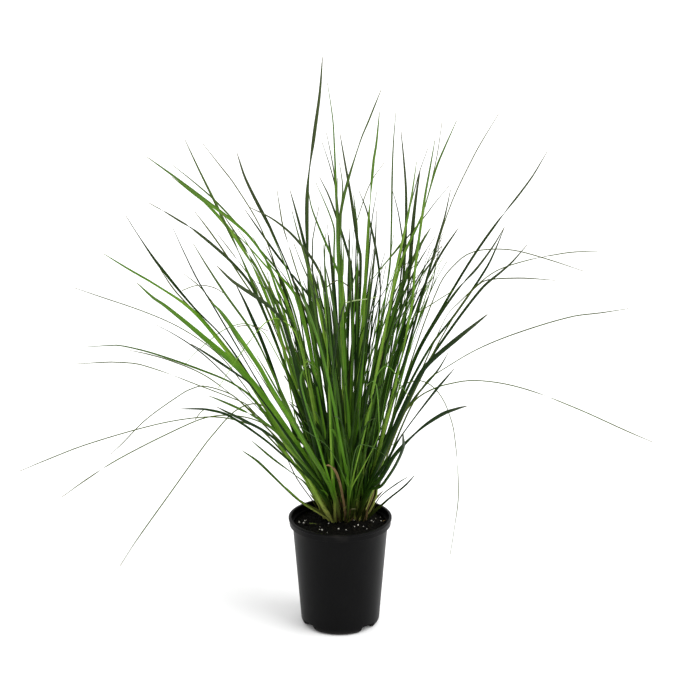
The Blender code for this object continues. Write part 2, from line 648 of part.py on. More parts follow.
def leaf_rings(course, widest, across, turn_to_eye, twist, most):
    """The rings of a leaf and its tip. Each ring is the left edge, the right edge and the keel. The flat side
    starts across the sheath, turns to face the eye, give or take an angle, and twists towards the tip."""
    rings = []
    side = across
    for share in ring_shares(course, most):
        centre = at_share(course, share)
        before = at_share(course, max(share - TANGENT_SHARE, 0.0))
        ahead = (at_share(course, min(share + TANGENT_SHARE, 1.0)) - before).normalized()
        side = (side - ahead * side.dot(ahead)).normalized()
        if rings:
            flat = ahead.cross(centre - EYE).normalized()
            angle = turn_to_eye + twist * share
            side = turned(side, flat * math.cos(angle) + ahead.cross(flat) * math.sin(angle))
        width = leaf_width(widest, share)
        least = KEEL_LEAST * min(1.0, 2 * (1 - share) + KEEL_TAPER)
        keel = ahead.cross(side) * max(width * KEEL_SHARE, least)
        rings.append([centre - side * width / 2, centre + side * width / 2, centre + keel])
    return rings, course[-1]


def leaf_faces(rings, first, tip):
    """The faces of a leaf whose rings stand in one list of vertices from index first, and whose tip is index
    tip. Each four-cornered stretch of a side is folded along the diagonal that makes it bulge outwards."""
    faces = []
    for row, (low, high) in enumerate(zip(rings, rings[1:])):
        for i in range(3):
            j = (i + 1) % 3
            low_i, low_j = first + row * 3 + i, first + row * 3 + j
            high_i, high_j = low_i + 3, low_j + 3
            outward = (low[j] - low[i]).cross(high[j] - low[i])
            if (high[i] - low[i]).dot(outward) < 0:
                faces += [(low_i, low_j, high_j), (low_i, high_j, high_i)]
            else:
                faces += [(low_i, low_j, high_i), (low_j, high_j, high_i)]
    last = first + (len(rings) - 1) * 3
    faces += [(last + i, last + (i + 1) % 3, tip) for i in range(3)]
    return faces


# Clear of one another


def body_of(points, faces):
    """A solid's search tree and the corners of its box."""
    low = Vector(min(p[i] for p in points) for i in range(3))
    high = Vector(max(p[i] for p in points) for i in range(3))
    return Body(BVHTree.FromPolygons(points, faces), low, high)


def leaf_body(rings, tip, swell=0.0):
    """A leaf's body, swollen by a distance."""
    points = []
    for ring in rings:
        middle = sum(ring, Vector()) / 3
        points += [p + (p - middle).normalized() * swell for p in ring]
    points.append(tip + (tip - middle).normalized() * swell)
    return body_of(points, leaf_faces(rings, 0, len(points) - 1))


def sheath_body(shoot):
    """The body of a sheath with every slot in use."""
    low, end = sheath_points(shoot, shoot.slot_count - 1)
    top = [shoot.slot(0) + shoot.across * SLOT_WIDTH * side for side in (-0.5, 0.5)]
    prism = [(0, 1, 2), (3, 4, 5), (0, 1, 4), (0, 4, 3), (1, 2, 5), (1, 5, 4), (2, 0, 3), (2, 3, 5)]
    return body_of([*low, *top, end], prism)


def is_clear(body, others):
    """Whether a body touches none of the others."""
    for other in others:
        apart = any(body.low[i] > other.high[i] or other.low[i] > body.high[i] for i in range(3))
        if not apart and body.tree.overlap(other.tree):
            return False
    return True


# Shoots


class Shoot:
    """One shoot: where it stands, the leaves that were read for it, and the leaves it has grown."""

    def __init__(self, name, place, sheath_height):
        self.name = name
        self.place = place
        self.sheath_height = sheath_height
        self.stem_length = STEM_LENGTH
        self.steepest = STEEPEST_LEAN
        self.low = False
        self.read = []
        self.grown = []

    def lay_low(self, leaves):
        """Makes this a short shoot of just these leaves that leans low over the rim."""
        self.low = True
        self.sheath_height = LOW_SHEATH_HEIGHT
        self.stem_length = LOW_STEM_LENGTH
        self.steepest = LOW_STEEPEST_LEAN
        for leaf in leaves:
            depth = self.root().y - LOW_LEAF_FORWARD
            self.read.append((leaf, depth, heading_of(leaf, depth)))

    def root(self):
        """The middle of the shoot's foot on the potting mix."""
        out = Vector((self.place.x * CROWN_RADII.x, self.place.y * CROWN_RADII.y, CROWN_Z + GAP))
        return CROWN_CENTRE + out

    def settle(self, headings):
        """Sets the sheath's direction and the direction of its row of slots from its leaves' headings."""
        self.slot_count = len(headings)
        mean = sum(headings, Vector((0, 0))) / len(headings)
        if mean.length > self.steepest:
            mean *= self.steepest / mean.length
        self.heading = Vector((mean.x, mean.y, 1)).normalized()
        xx = sum((h.x - mean.x) ** 2 for h in headings) + ROW_BIAS
        yy = sum((h.y - mean.y) ** 2 for h in headings)
        xy = sum((h.x - mean.x) * (h.y - mean.y) for h in headings)
        turn = 0.5 * math.atan2(2 * xy, xx - yy)
        row = Vector((math.cos(turn), math.sin(turn), 0))
        self.row = (row - self.heading * row.dot(self.heading)).normalized()
        self.across = self.row.cross(self.heading)

    def slot(self, index):
        """The middle of one leaf's slot in the top of the sheath."""
        top = self.root() + self.heading * self.sheath_height
        return top + self.row * LEAF_PITCH * (index - (self.slot_count - 1) / 2)


def sunflower(index, count):
    """A point of an even spread over the unit disc."""
    radius = math.sqrt((index + 0.5) / count)
    angle = index * GOLDEN_ANGLE
    return Vector((radius * math.cos(angle), radius * math.sin(angle)))


def depth_at_width(leaf):
    """The depth at which a leaf's tip, as the picture shows it, stands exactly at the clump's half width."""
    near = sight_point(leaf.course[0], 0.0)
    x = math.copysign(HALF_WIDTH, near.x)
    return EYE.y - (x - EYE.x) * EYE.y / (near.x - EYE.x)


def tip_depth_of(leaf, length):
    """How far back or forward a leaf's tip is, so that the whole leaf has about the given length."""
    if leaf.reach == "width":
        return depth_at_width(leaf)
    if leaf.reach == "depth":
        return leaf.side * HALF_DEPTH
    shown = [sight_point(pixel, CROWN_CENTRE.y) for pixel in leaf.course]
    shown.append(CROWN_CENTRE + Vector((0, 0, CROWN_Z)))
    out = math.sqrt(max(length**2 - course_length(shown) ** 2, LEAST_OUT**2))
    if leaf.side == LEVEL:
        out *= LEVEL_OUT_SHARE if leaf.width > WIDE_LEAF else -LEVEL_OUT_SHARE
    else:
        out *= leaf.side
    limit = HALF_DEPTH - DEPTH_MARGIN
    return limit * math.tanh((CROWN_CENTRE.y + out) / limit)


def heading_of(leaf, tip_depth):
    """How a leaf leans as it leaves the crown, as x and y travelled for each unit of height."""
    base = CROWN_CENTRE + Vector((0, 0, CROWN_Z))
    pixels = [picture_pixel(base), *(Vector(p) for p in reversed(leaf.course))]
    total = course_length(pixels)
    knots = []
    for i, pixel in enumerate(pixels):
        share = course_length(pixels[: i + 1]) / total
        knots.append(sight_point(pixel, lerp(base.y, tip_depth, share**DEPTH_POWER)))
    aim = at_share(knots, min(AIM_HEIGHT / course_length(knots), 1.0)) - base
    return Vector((aim.x, aim.y)) / max(aim.z, LEAST_AIM)


def share_out(leaves, shoots):
    """Gives each leaf that was read to the nearest shoot with room, the most leaning leaves first."""
    for leaf, depth, heading in sorted(leaves, key=lambda item: -item[2].length):
        wanted = heading / LEAN_AT_CROWN_EDGE
        if wanted.length > 1:
            wanted.normalize()
        free = [s for s in shoots if len(s.read) < LEAVES_PER_SHOOT - 1 and not s.low]
        nearest = min(free, key=lambda s: (s.place - wanted).length)
        nearest.read.append((leaf, depth, heading))


def plan_shoots(dice):
    """The shoots on the crown, with the leaves that were read shared out among them."""
    shoots = []
    for i in range(SHOOT_COUNT):
        height = dice.uniform(*SHEATH_HEIGHTS)
        shoots.append(Shoot(f"shoot_{i + 1:02d}", sunflower(i, SHOOT_COUNT), height))
    for place, leaves in ((LOW_LEFT_PLACE, LOW_LEFT_LEAVES), (LOW_RIGHT_PLACE, LOW_RIGHT_LEAVES)):
        nearest = min(shoots, key=lambda shoot: (shoot.place - place).length)
        nearest.lay_low(leaves)
    planned = []
    left_groups = (TALL_LEAVES, UPPER_LEFT_LEAVES, LEFT_LEAVES)
    right_groups = (UPPER_RIGHT_LEAVES, RIGHT_LEAVES, MIDDLE_LEAVES)
    for group in left_groups + right_groups:
        for leaf in group:
            depth = tip_depth_of(leaf, dice.uniform(*READ_LENGTHS))
            planned.append((leaf, depth, heading_of(leaf, depth)))
    share_out(planned, shoots)
    return shoots


def in_core(course):
    """Whether a leaf that was not read stays among the others as the picture shows them."""
    for point in course:
        pixel = picture_pixel(point)
        half = CORE_HALF_FOOT + CORE_SPREAD * (CORE_FOOT - pixel.y)
        if pixel.y < CORE_TOP or abs(pixel.x - CORE_MIDDLE) > half:
            return False
    return True


def place_read_leaf(wish, others, dice):
    """Grows a leaf that was read, moved along its sight lines until it is clear of the others."""
    shoot, leaf = wish.shoot, wish.leaf
    start = shoot.slot(wish.index)
    turn_to_eye = dice.uniform(*TURNS_TO_EYE)
    twist = dice.choice((-1, 1)) * dice.uniform(*TWISTS)
    shifts = [0] if leaf.reach else TIP_SHIFTS
    for shift in shifts:
        for bulge in BULGES:
            tip_depth = min(max(wish.depth + shift * MM, -HALF_DEPTH), HALF_DEPTH)
            course = read_course(leaf, shoot, start, tip_depth, bulge * MM)
            widest = leaf.width * MM
            rings, tip = leaf_rings(course, widest, shoot.across, turn_to_eye, twist, MOST_READ_RINGS)
            if is_clear(leaf_body(rings, tip, CLEARANCE), others):
                return GrownLeaf(wish.index, rings, tip)
    return None


def place_grown_leaf(wish, others, dice):
    """Grows a leaf by the rule, trying new directions until one is clear and stays in the clump."""
    shoot = wish.shoot
    start = shoot.slot(wish.index)
    for attempt in range(GROWN_TRIES):
        spread = LEAN_SPREAD * (1 + attempt * SPREAD_GROWTH)
        lean_out = wish.heading + Vector((dice.gauss(0, spread.x), dice.gauss(0, spread.y)))
        course = grown_course(
            shoot,
            start,
            lean_out,
            dice.uniform(*LEAN_SHARES),
            dice.uniform(*DROOPS),
            dice.uniform(*GROWN_LENGTHS),
        )
        width = dice.uniform(*GROWN_WIDTHS)
        turn = dice.uniform(*GROWN_TURNS)
        twist = dice.choice((-1, 1)) * dice.uniform(*TWISTS)
        rings, tip = leaf_rings(course, width, shoot.across, turn, twist, MOST_GROWN_RINGS)
        fits = abs(tip.y) < HALF_DEPTH and in_core(course)
        if fits and is_clear(leaf_body(rings, tip, CLEARANCE), others):
            return GrownLeaf(wish.index, rings, tip)
    return None


def wishes_of(shoot, dice):
    """The leaves a shoot would like to grow, in the order of its slots: those read for it, then the rest."""
    wished = [(heading, leaf, depth) for leaf, depth, heading in shoot.read]
    own = Vector((shoot.place.x * FILL_LEAN.x, shoot.place.y * FILL_LEAN.y))
    for _ in range(0 if shoot.low else LEAVES_PER_SHOOT - len(wished)):
        off = Vector((dice.gauss(0, FILL_LEAN_SPREAD.x), dice.gauss(0, FILL_LEAN_SPREAD.y)))
        wished.append((own + off, None, 0.0))
    shoot.settle([heading for heading, _, _ in wished])
    wished.sort(key=lambda item: item[0].dot(shoot.row.xy))
    return [Wish(shoot, i, heading, leaf, depth) for i, (heading, leaf, depth) in enumerate(wished)]


def growing_order(wish):
    """Leaves that set the overall reach come first, then those read, the widest first, then the rest."""
    if wish.leaf is None:
        return (2, 0.0)
    return (0 if wish.leaf.reach else 1, -wish.leaf.width)


def grow_shoots(shoots, pot, dice):
    """Grows every leaf clear of the pot, of every other leaf and of every sheath but its own."""
    waiting = []
    for shoot in shoots:
        waiting += wishes_of(shoot, dice)
    sheaths = [(shoot, sheath_body(shoot)) for shoot in shoots]
    points = [vertex.co for vertex in pot.data.vertices]
    standing = [body_of(points, [tuple(face.vertices) for face in pot.data.polygons])]
    for wish in sorted(waiting, key=growing_order):
        others = standing + [body for owner, body in sheaths if owner is not wish.shoot]
        place = place_read_leaf if wish.leaf else place_grown_leaf
        grown = place(wish, others, dice)
        if grown:
            standing.append(leaf_body(grown.rings, grown.tip))
            wish.shoot.grown.append(grown)
    for shoot in shoots:
        shoot.grown.sort(key=lambda leaf: leaf.index)


def sheath_points(shoot, last_slot):
    """The corners of a sheath apart from its slots: three at its foot, and the far end of its top."""
    foot = shoot.root()
    half = SHEATH_FOOT_WIDTH / 2
    reach = LEAF_PITCH * shoot.slot_count * SHEATH_FOOT_SHARE / 2
    level_row = Vector((shoot.row.x, shoot.row.y, 0)).normalized()
    level_across = level_row.cross(Vector((0, 0, 1)))
    near = foot - level_row * reach
    low = [near - level_across * half, near + level_across * half, foot + level_row * reach]
    return low, shoot.slot(last_slot) + shoot.row * LEAF_PITCH * SHEATH_END


def shoot_mesh(shoot):
    """Vertices and faces of a whole shoot: the sheath with its leaves growing out of its top."""
    if not shoot.grown:
        raise ValueError(f"{shoot.name} has no leaf")
    low, end = sheath_points(shoot, shoot.grown[-1].index)
    vertices = [*low, end]
    foot_left, foot_right, foot_end, far = range(len(vertices))
    faces = [(foot_left, foot_right, foot_end)]
    starts = []
    for leaf in shoot.grown:
        first = len(vertices)
        starts.append(first)
        for ring in leaf.rings:
            vertices += ring
        vertices.append(leaf.tip)
        faces += leaf_faces(leaf.rings, first, len(vertices) - 1)
    for left, after in zip(starts, starts[1:]):
        right, keel, after_right = left + 1, left + 2, after + 1
        faces += [(left, keel, after), (keel, after_right, after), (keel, right, after_right)]
        faces += [(left, after, foot_left), (after_right, right, foot_right)]
    left, right, keel = starts[-1], starts[-1] + 1, starts[-1] + 2
    faces += [(left, keel, far), (keel, right, far), (left, far, foot_left)]
    faces += [(far, foot_end, foot_left), (far, right, foot_right), (far, foot_right, foot_end)]
    faces += [(starts[0] + 1, starts[0], foot_left), (starts[0] + 1, foot_left, foot_right)]
    return vertices, faces


def build_shoots(pot, dice):
    """Every shoot as one solid each."""
    shoots = plan_shoots(dice)
    grow_shoots(shoots, pot, dice)
    for shoot in shoots:
        tone = dice.uniform(0.0, 1.0)
        colour = [lerp(dark, light, tone) for dark, light in zip((0.02, 0.07, 0.008), (0.12, 0.22, 0.03))]
        surface = material(shoot.name, colour, 0.45)
        add_object(shoot.name, *shoot_mesh(shoot), surface)


def main():
    clear_scene()
    dice = random.Random(SEED)
    pot = build_pot()
    build_potting_mix(dice)
    build_shoots(pot, dice)


main()
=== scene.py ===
"""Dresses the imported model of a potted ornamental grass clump: the pot, the potting mix and what lies on it,
the leafy shoots, the loose strands, and the stage with its light and camera."""

import math
import random
from collections import namedtuple

import bmesh
import bpy
import numpy as np
from bpy.props import FloatProperty, FloatVectorProperty, IntProperty, PointerProperty
from mathutils import Matrix, Vector, noise


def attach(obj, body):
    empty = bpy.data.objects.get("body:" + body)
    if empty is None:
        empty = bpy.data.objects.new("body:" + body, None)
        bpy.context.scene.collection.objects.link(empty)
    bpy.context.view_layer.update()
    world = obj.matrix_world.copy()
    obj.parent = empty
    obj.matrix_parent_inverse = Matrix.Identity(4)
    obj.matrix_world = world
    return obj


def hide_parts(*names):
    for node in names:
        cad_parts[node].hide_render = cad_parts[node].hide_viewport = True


bl_info = {
    "name": "Potted Grass Clump",
    "version": (1, 0, 0),
    "blender": (4, 5, 0),
    "location": "View3D > Sidebar > Grass Clump",
    "description": "Builds the pot, the potting mix and the leaves of a grass clump around its CAD frame",
    "category": "Object",
}

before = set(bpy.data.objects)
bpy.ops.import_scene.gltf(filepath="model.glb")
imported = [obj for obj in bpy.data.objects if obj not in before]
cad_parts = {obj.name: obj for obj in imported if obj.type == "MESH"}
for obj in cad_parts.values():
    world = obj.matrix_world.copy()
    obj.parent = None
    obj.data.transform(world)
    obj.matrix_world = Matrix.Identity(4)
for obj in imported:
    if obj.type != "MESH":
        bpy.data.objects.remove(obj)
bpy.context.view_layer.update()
BODY = "root"
MM = 0.001
RIGHT = Vector((1, 0, 0))
UP = Vector((0, 0, 1))

# Sight: the picture's viewpoint, how far it looks down, its focal length and its middle in pixels
EYE = Vector((13.3 * MM, -2400 * MM, 1122 * MM))
EYE_PITCH = math.radians(17)
FOCAL_PX = 1903
PICTURE_PX = 700
MIDDLE_PX = PICTURE_PX / 2
SENSOR_MM = 36

# Pot: the sizes of its CAD solid, with angles in degrees, and the roundings that the solid leaves out
POT_HEIGHT = 153 * MM
RIM_RADIUS = 70 * MM
RIM_INNER_RADIUS = 66.2 * MM
RIM_EDGE = 0.8 * MM
LIP_HEIGHT = 3.2 * MM
COLLAR_RADIUS = 68.8 * MM
COLLAR_HEIGHT = 10 * MM
WALL = 1.5 * MM
WALL_TOP_RADIUS = 65.4 * MM
WALL_FOOT_RADIUS = 53.7 * MM
HEEL_RADIUS = 8 * MM
SKIRT_HEIGHT = 12 * MM
SKIRT_ROWS = 14
FEET = ((-34.4, 34.4), (67, 121), (153.6, 206.4), (239, 293))
FRONT_FOOT_ANGLE = -94.4
FOOT_INNER_RADIUS = 24 * MM
FLOOR_UNDERSIDE = 10.5 * MM
FLOOR_Z = FLOOR_UNDERSIDE + WALL
ARCH_HEIGHT = 9 * MM
ARCH_SHOULDER = 5
DRAIN_RADIUS = 4 * MM
DRAIN_CIRCLE = 36 * MM
DRAIN_SIDES = 32
DRAIN_DEPTH = 4 * WALL
POT_SIDES = 360
CORNER_STEPS = 4
FINE_EDGE = 0.45 * MM

# Potting mix: its size, and the lumps of its top as shares of their height
MIX_EDGE_Z = 141 * MM
CROWN_Z = 145 * MM
CROWN_CENTRE = Vector((9 * MM, 24 * MM, 0))
CROWN_REACH = 36 * MM
MIX_FIT = 0.05 * MM
MIX_BOTTOM = FLOOR_Z + 0.3 * MM
MIX_RINGS = 64
MIX_SIDES = 180
LUMP_SCALE = 130
LUMP_FRACTAL = (0.9, 2.1, 4)
LUMP_SHARE = 0.9
CRUMB_SCALE = 520
CRUMB_LAYER = 0.5
CRUMB_SHARE = 0.35
SUNK_SHARE = 0.3

# Leaves: how the CAD ones are read back, and how the dressed ones are drawn
MERGE_DISTANCE = 0.01 * MM
FOOT_MARGIN = 0.02 * MM
FOOT_Z = CROWN_Z + 0.3 * MM
RING_CORNERS = 3
FEWEST_RINGS = 4
TAPER_SHARE = 0.6
TAPER_POWER = 0.36
SHOWN_TAPER_SHARE = 0.18
HAIR_TAPER_SHARE = 0.08
LONG_TAPER_SHARE = 0.75
SHOWN_TAPER_POWER = 0.5
TIP_HALF_WIDTH = 0.4 * MM
LEAST_HALF_WIDTH = 0.6 * MM
FOOT_SHARE = 0.7
ROOT_DEPTH = 3 * MM
SLOT_SHARE = 0.55
FOOT_SWELL = 1.25
SLOT_SWELL = 1.3
LEAF_CUPS = (0.05, 0.35)
FLAT_CUP = 0.15
CUP_LEAST = 0.28
CUP_FOOT = 1.05
CUP_FALL = 95 * MM
FACE_FOOT = 0.5
FACE_TIP = 0.86
SPLINE_STEPS = 8
ROW_LENGTH = 9 * MM
FEWEST_ROWS = 8
STRIP_FILL = 0.9
LOOSE_START = 100 * MM

BLADE_PARTS = "knots sides halves cup tone dryness tapered start waists"
Blade = namedtuple("Blade", BLADE_PARTS, defaults=(SHOWN_TAPER_SHARE, 0.0, ()))


# Settings that a user would change


def colour_setting(name, description, default):
    return FloatVectorProperty(name=name, description=description, subtype="COLOR", size=3, default=default)


def amount_setting(name, description, default):
    return FloatProperty(name=name, description=description, default=default, min=0)


class PotSettings(bpy.types.PropertyGroup):
    """The pot's plastic."""

    colour: colour_setting("Colour", "Colour of the plastic", (0.0019, 0.0019, 0.0021))
    roughness: FloatProperty(
        name="Roughness", description="How satin the plastic is", default=0.4, min=0, max=1, subtype="FACTOR"
    )


class MixSettings(bpy.types.PropertyGroup):
    """The potting mix and what lies on it."""

    colour: colour_setting("Colour", "Colour of the moist bark", (0.0018, 0.0016, 0.0008))
    lump_height: FloatProperty(
        name="Lump Height", description="How far lumps stand up", default=1.7 * MM, unit="LENGTH"
    )
    crumb_density: amount_setting("Crumb Density", "Bark crumbs for each square metre", 90000.0)
    chip_density: amount_setting("Chip Density", "Bark chips for each square metre", 9000.0)
    grain_density: amount_setting("Grain Density", "White grains for each square metre", 4200.0)


class LeafSettings(bpy.types.PropertyGroup):
    """The leaves."""

    dark: colour_setting("Dark Leaf", "Colour of an old shaded leaf", (0.007, 0.026, 0.0012))
    middle: colour_setting("Middle Leaf", "Colour of most leaves", (0.052, 0.128, 0.0095))
    vivid: colour_setting("Vivid Leaf", "Colour of a fresh leaf", (0.088, 0.230, 0.012))
    light: colour_setting("Light Leaf", "Colour of a young or sunlit leaf", (0.270, 0.430, 0.055))
    columns: IntProperty(name="Columns", description="Points round a leaf's section", default=10, min=6)
    thickness: amount_setting("Thickness", "Thickness as a share of the half width", 0.085)
    fine_leaves: IntProperty(name="Fine Leaves", description="Fine leaves of each shoot", default=6, min=0)


class StageSettings(bpy.types.PropertyGroup):
    """Floor, light and camera."""

    floor_colour: colour_setting("Floor", "Colour of the floor", (0.93, 0.93, 0.93))
    sky: amount_setting("Sky", "Strength of the light from all round", 0.95)
    key: amount_setting("Key", "Strength of the broad light from the upper right", 2.0)


class ClumpSettings(bpy.types.PropertyGroup):
    """All settings of the clump."""

    pot: PointerProperty(type=PotSettings)
    mix: PointerProperty(type=MixSettings)
    leaf: PointerProperty(type=LeafSettings)
    stage: PointerProperty(type=StageSettings)


# Node trees: the numbers of the Mix node's colour sockets, and of a Random Value node's float sockets
MIX_SHARE, MIX_LOW, MIX_HIGH, MIX_RESULT = 0, 6, 7, 2
RANDOM_LOW, RANDOM_HIGH, RANDOM_RESULT = 2, 3, 1


class Wire:
    """A value on its way through a node tree. A sum on it adds a Math node."""

    def __init__(self, graph, socket):
        self.graph = graph
        self.socket = socket

    def sum(self, operation, *values):
        return self.graph.wire("ShaderNodeMath", {"operation": operation}, dict(enumerate(values)))

    def __add__(self, other):
        return self.sum("ADD", self, other)

    def __sub__(self, other):
        return self.sum("SUBTRACT", self, other)

    def __rsub__(self, other):
        return self.sum("SUBTRACT", other, self)

    def __mul__(self, other):
        return self.sum("MULTIPLY", self, other)

    def __pow__(self, other):
        return self.sum("POWER", self, other)

    def __abs__(self):
        return self.sum("ABSOLUTE", self)

    __radd__ = __add__
    __rmul__ = __mul__

    def sine(self):
        return self.sum("SINE", self)

    def sign(self):
        return self.sum("SIGN", self)

    def least(self, other):
        return self.sum("MINIMUM", self, other)

    def rise(self, low, high):
        """0 below low, 1 above high, and a smooth step between them. High may be the smaller one."""
        sockets = {"Value": self, "From Min": low, "From Max": high}
        return self.graph.wire("ShaderNodeMapRange", {"interpolation_type": "SMOOTHSTEP"}, sockets)


class Graph:
    """Adds nodes to one node tree."""

    def __init__(self, tree):
        self.tree = tree

    def node(self, kind, settings=None, sockets=None):
        """A new node with its settings, then its sockets' wires or values."""
        made = self.tree.nodes.new(kind)
        for name, value in (settings or {}).items():
            if name == "stops":
                self.set_stops(made.color_ramp, value)
            else:
                setattr(made, name, value)
        self.plug(made, sockets or {})
        return made

    def plug(self, node, sockets):
        """Gives a node's sockets, by name or number, their wires or values."""
        for key, value in sockets.items():
            if isinstance(value, Wire):
                self.tree.links.new(value.socket, node.inputs[key])
            else:
                node.inputs[key].default_value = value

    @staticmethod
    def set_stops(ramp, stops):
        while len(ramp.elements) < len(stops):
            ramp.elements.new(1.0)
        for element, (place, colour) in zip(ramp.elements, stops):
            element.position = place
            element.color = (*colour, 1.0)

    def wire(self, kind, settings=None, sockets=None, output=0):
        """One output, by name or number, of a new node."""
        return Wire(self, self.node(kind, settings, sockets).outputs[output])

    def object_place(self):
        """The place of each point of a surface, from the piece's origin."""
        return self.wire("ShaderNodeTexCoord", output="Object")

    def parts(self, vector):
        """The three numbers of a vector."""
        made = self.node("ShaderNodeSeparateXYZ", None, {0: vector})
        return [Wire(self, socket) for socket in made.outputs]

    def vector(self, x, y, z):
        return self.wire("ShaderNodeCombineXYZ", None, {0: x, 1: y, 2: z})

    def scaled(self, vector, factor):
        """A vector times a number."""
        return self.wire("ShaderNodeVectorMath", {"operation": "SCALE"}, {"Vector": vector, "Scale": factor})

    def stretched(self, vector, factors):
        """A vector times another, number by number."""
        return self.wire("ShaderNodeVectorMath", {"operation": "MULTIPLY"}, {0: vector, 1: factors})

    def mixed(self, blend_type, share, low, high):
        """Two colours mixed, each a wire or three numbers."""
        low, high = (value if isinstance(value, Wire) else (*value, 1.0) for value in (low, high))
        settings = {"data_type": "RGBA", "blend_type": blend_type}
        sockets = {MIX_SHARE: share, MIX_LOW: low, MIX_HIGH: high}
        return self.wire("ShaderNodeMix", settings, sockets, MIX_RESULT)

    def blend(self, low, high, share):
        """A colour a share of the way from low to high."""
        return self.mixed("MIX", share, low, high)

    def shaded(self, colour, factor):
        """A colour times a grey factor."""
        return self.mixed("MULTIPLY", 1.0, colour, self.vector(factor, factor, factor))

    def noise(self, vector, scale, detail=2.0, roughness=0.5):
        sockets = {"Vector": vector, "Scale": scale, "Detail": detail, "Roughness": roughness}
        return self.wire("ShaderNodeTexNoise", None, sockets)

    def bump(self, height, distance, strength=1.0):
        sockets = {"Height": height, "Distance": distance, "Strength": strength}
        return self.wire("ShaderNodeBump", None, sockets)


def surface_graph(name):
    """A new material, its graph and its Principled shader."""
    made = bpy.data.materials.new(name)
    made.use_nodes = True
    return made, Graph(made.node_tree), made.node_tree.nodes["Principled BSDF"]


def group_graph(name, sockets):
    """The graph of a new Geometry Nodes tree with one geometry output, and its inputs as wires."""
    tree = bpy.data.node_groups.new(name, "GeometryNodeTree")
    tree.interface.new_socket("Geometry", in_out="INPUT", socket_type="NodeSocketGeometry")
    for title, kind in sockets:
        tree.interface.new_socket(title, in_out="INPUT", socket_type=f"NodeSocket{kind}")
    tree.interface.new_socket("Geometry", in_out="OUTPUT", socket_type="NodeSocketGeometry")
    graph = Graph(tree)
    entry = graph.node("NodeGroupInput")
    return graph, {socket.name: Wire(graph, socket) for socket in entry.outputs if socket.name}


def finish_group(graph, geometry, material):
    """Ends a tree in real geometry with its material."""
    real = graph.wire("GeometryNodeRealizeInstances", None, {"Geometry": geometry})
    smooth = graph.wire("GeometryNodeSetShadeSmooth", None, {"Geometry": real})
    dressed = graph.wire("GeometryNodeSetMaterial", None, {"Geometry": smooth, "Material": material})
    graph.node("NodeGroupOutput", None, {0: dressed})


# Objects


def add_object(name, data):
    """A new object at the scene's origin."""
    made = bpy.data.objects.new(name, data)
    bpy.context.scene.collection.objects.link(made)
    return made


def add_piece(name, mesh):
    """A piece at the origin that rides on the clump's one body."""
    piece = add_object(name, mesh)
    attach(piece, BODY)
    return piece


def check_outward(mesh, name):
    """Stops the script if a mesh is inside out or open."""
    work = bmesh.new()
    work.from_mesh(mesh)
    volume = work.calc_volume(signed=True)
    open_edges = sum(not edge.is_manifold for edge in work.edges)
    work.free()
    if volume <= 0 or open_edges:
        raise ValueError(f"{name} has volume {volume} and {open_edges} open edges")


def mesh_of(work, name):
    """A mesh made from a working one, which is freed."""
    mesh = bpy.data.meshes.new(name)
    work.to_mesh(mesh)
    work.free()
    return mesh


def evaluated_mesh(carrier):
    """The mesh that an object's modifiers make. The object itself is removed."""
    depsgraph = bpy.context.evaluated_depsgraph_get()
    mesh = bpy.data.meshes.new_from_object(carrier.evaluated_get(depsgraph), depsgraph=depsgraph)
    bpy.data.objects.remove(carrier, do_unlink=True)
    return mesh


def grown_mesh(carrier_mesh, tree, values):
    """Runs a Geometry Nodes tree on a mesh and returns the result as a plain mesh."""
    carrier = add_object("carrier", carrier_mesh)
    grow = carrier.modifiers.new("Grow", "NODES")
    grow.node_group = tree
    for item in tree.interface.items_tree:
        if item.in_out == "INPUT" and item.name in values:
            grow[item.identifier] = values[item.name]
    return evaluated_mesh(carrier)


def lerp(low, high, share):
    """The value a share of the way from low to high."""
    return low + (high - low) * share


def clamped(value):
    """A value kept between 0 and 1."""
    return min(max(value, 0.0), 1.0)


def smoothstep(share):
    """0 to 1 with level ends."""
    share = clamped(share)
    return share * share * (3 - 2 * share)


def polar(radius, angle, z):
    """A point from its distance and direction from the pot's axis."""
    return Vector((radius * math.cos(angle), radius * math.sin(angle), z))


def times(colour, factor):
    """A colour of plain numbers times a factor."""
    return [part * factor for part in colour]


# Pot


def wall_radius(z):
    """The outer radius of the tapered wall at a height, with its rounded heel."""
    if z < HEEL_RADIUS:
        return WALL_FOOT_RADIUS - HEEL_RADIUS + math.sqrt(max(HEEL_RADIUS**2 - (HEEL_RADIUS - z) ** 2, 0.0))
    return lerp(WALL_FOOT_RADIUS, WALL_TOP_RADIUS, (z - HEEL_RADIUS) / (POT_HEIGHT - HEEL_RADIUS))


def arches():
    """Where each arch between two feet starts and ends, in degrees from the middle of the front foot."""
    ends = [start for start, _ in FEET[1:]] + [FEET[0][0] + 360]
    return [(leave, end) for (_, leave), end in zip(FEET, ends)]


def arch_lift(turn):
    """How far the pot's lower edge is lifted, turn degrees round from the middle of the front foot."""
    turn = (turn - FEET[0][0]) % 360 + FEET[0][0]
    for start, end in arches():
        if start < turn < end:
            return ARCH_HEIGHT * smoothstep(min(turn - start, end - turn) / ARCH_SHOULDER)
    return 0.0


def rounded(corners):
    """A section's points, with each corner that has a rounding replaced by a short curve."""
    points = []
    for i, (radius, z, rounding) in enumerate(corners):
        corner = Vector((radius, z))
        if not rounding:
            points.append(corner)
            continue
        before = Vector(corners[i - 1][:2]) - corner
        after = Vector(corners[i + 1][:2]) - corner
        enter = corner + before.normalized() * min(rounding, before.length / 2)
        leave = corner + after.normalized() * min(rounding, after.length / 2)
        for step in range(CORNER_STEPS + 1):
            share = step / CORNER_STEPS
            points.append(enter.lerp(corner, share).lerp(corner.lerp(leave, share), share))
    return points


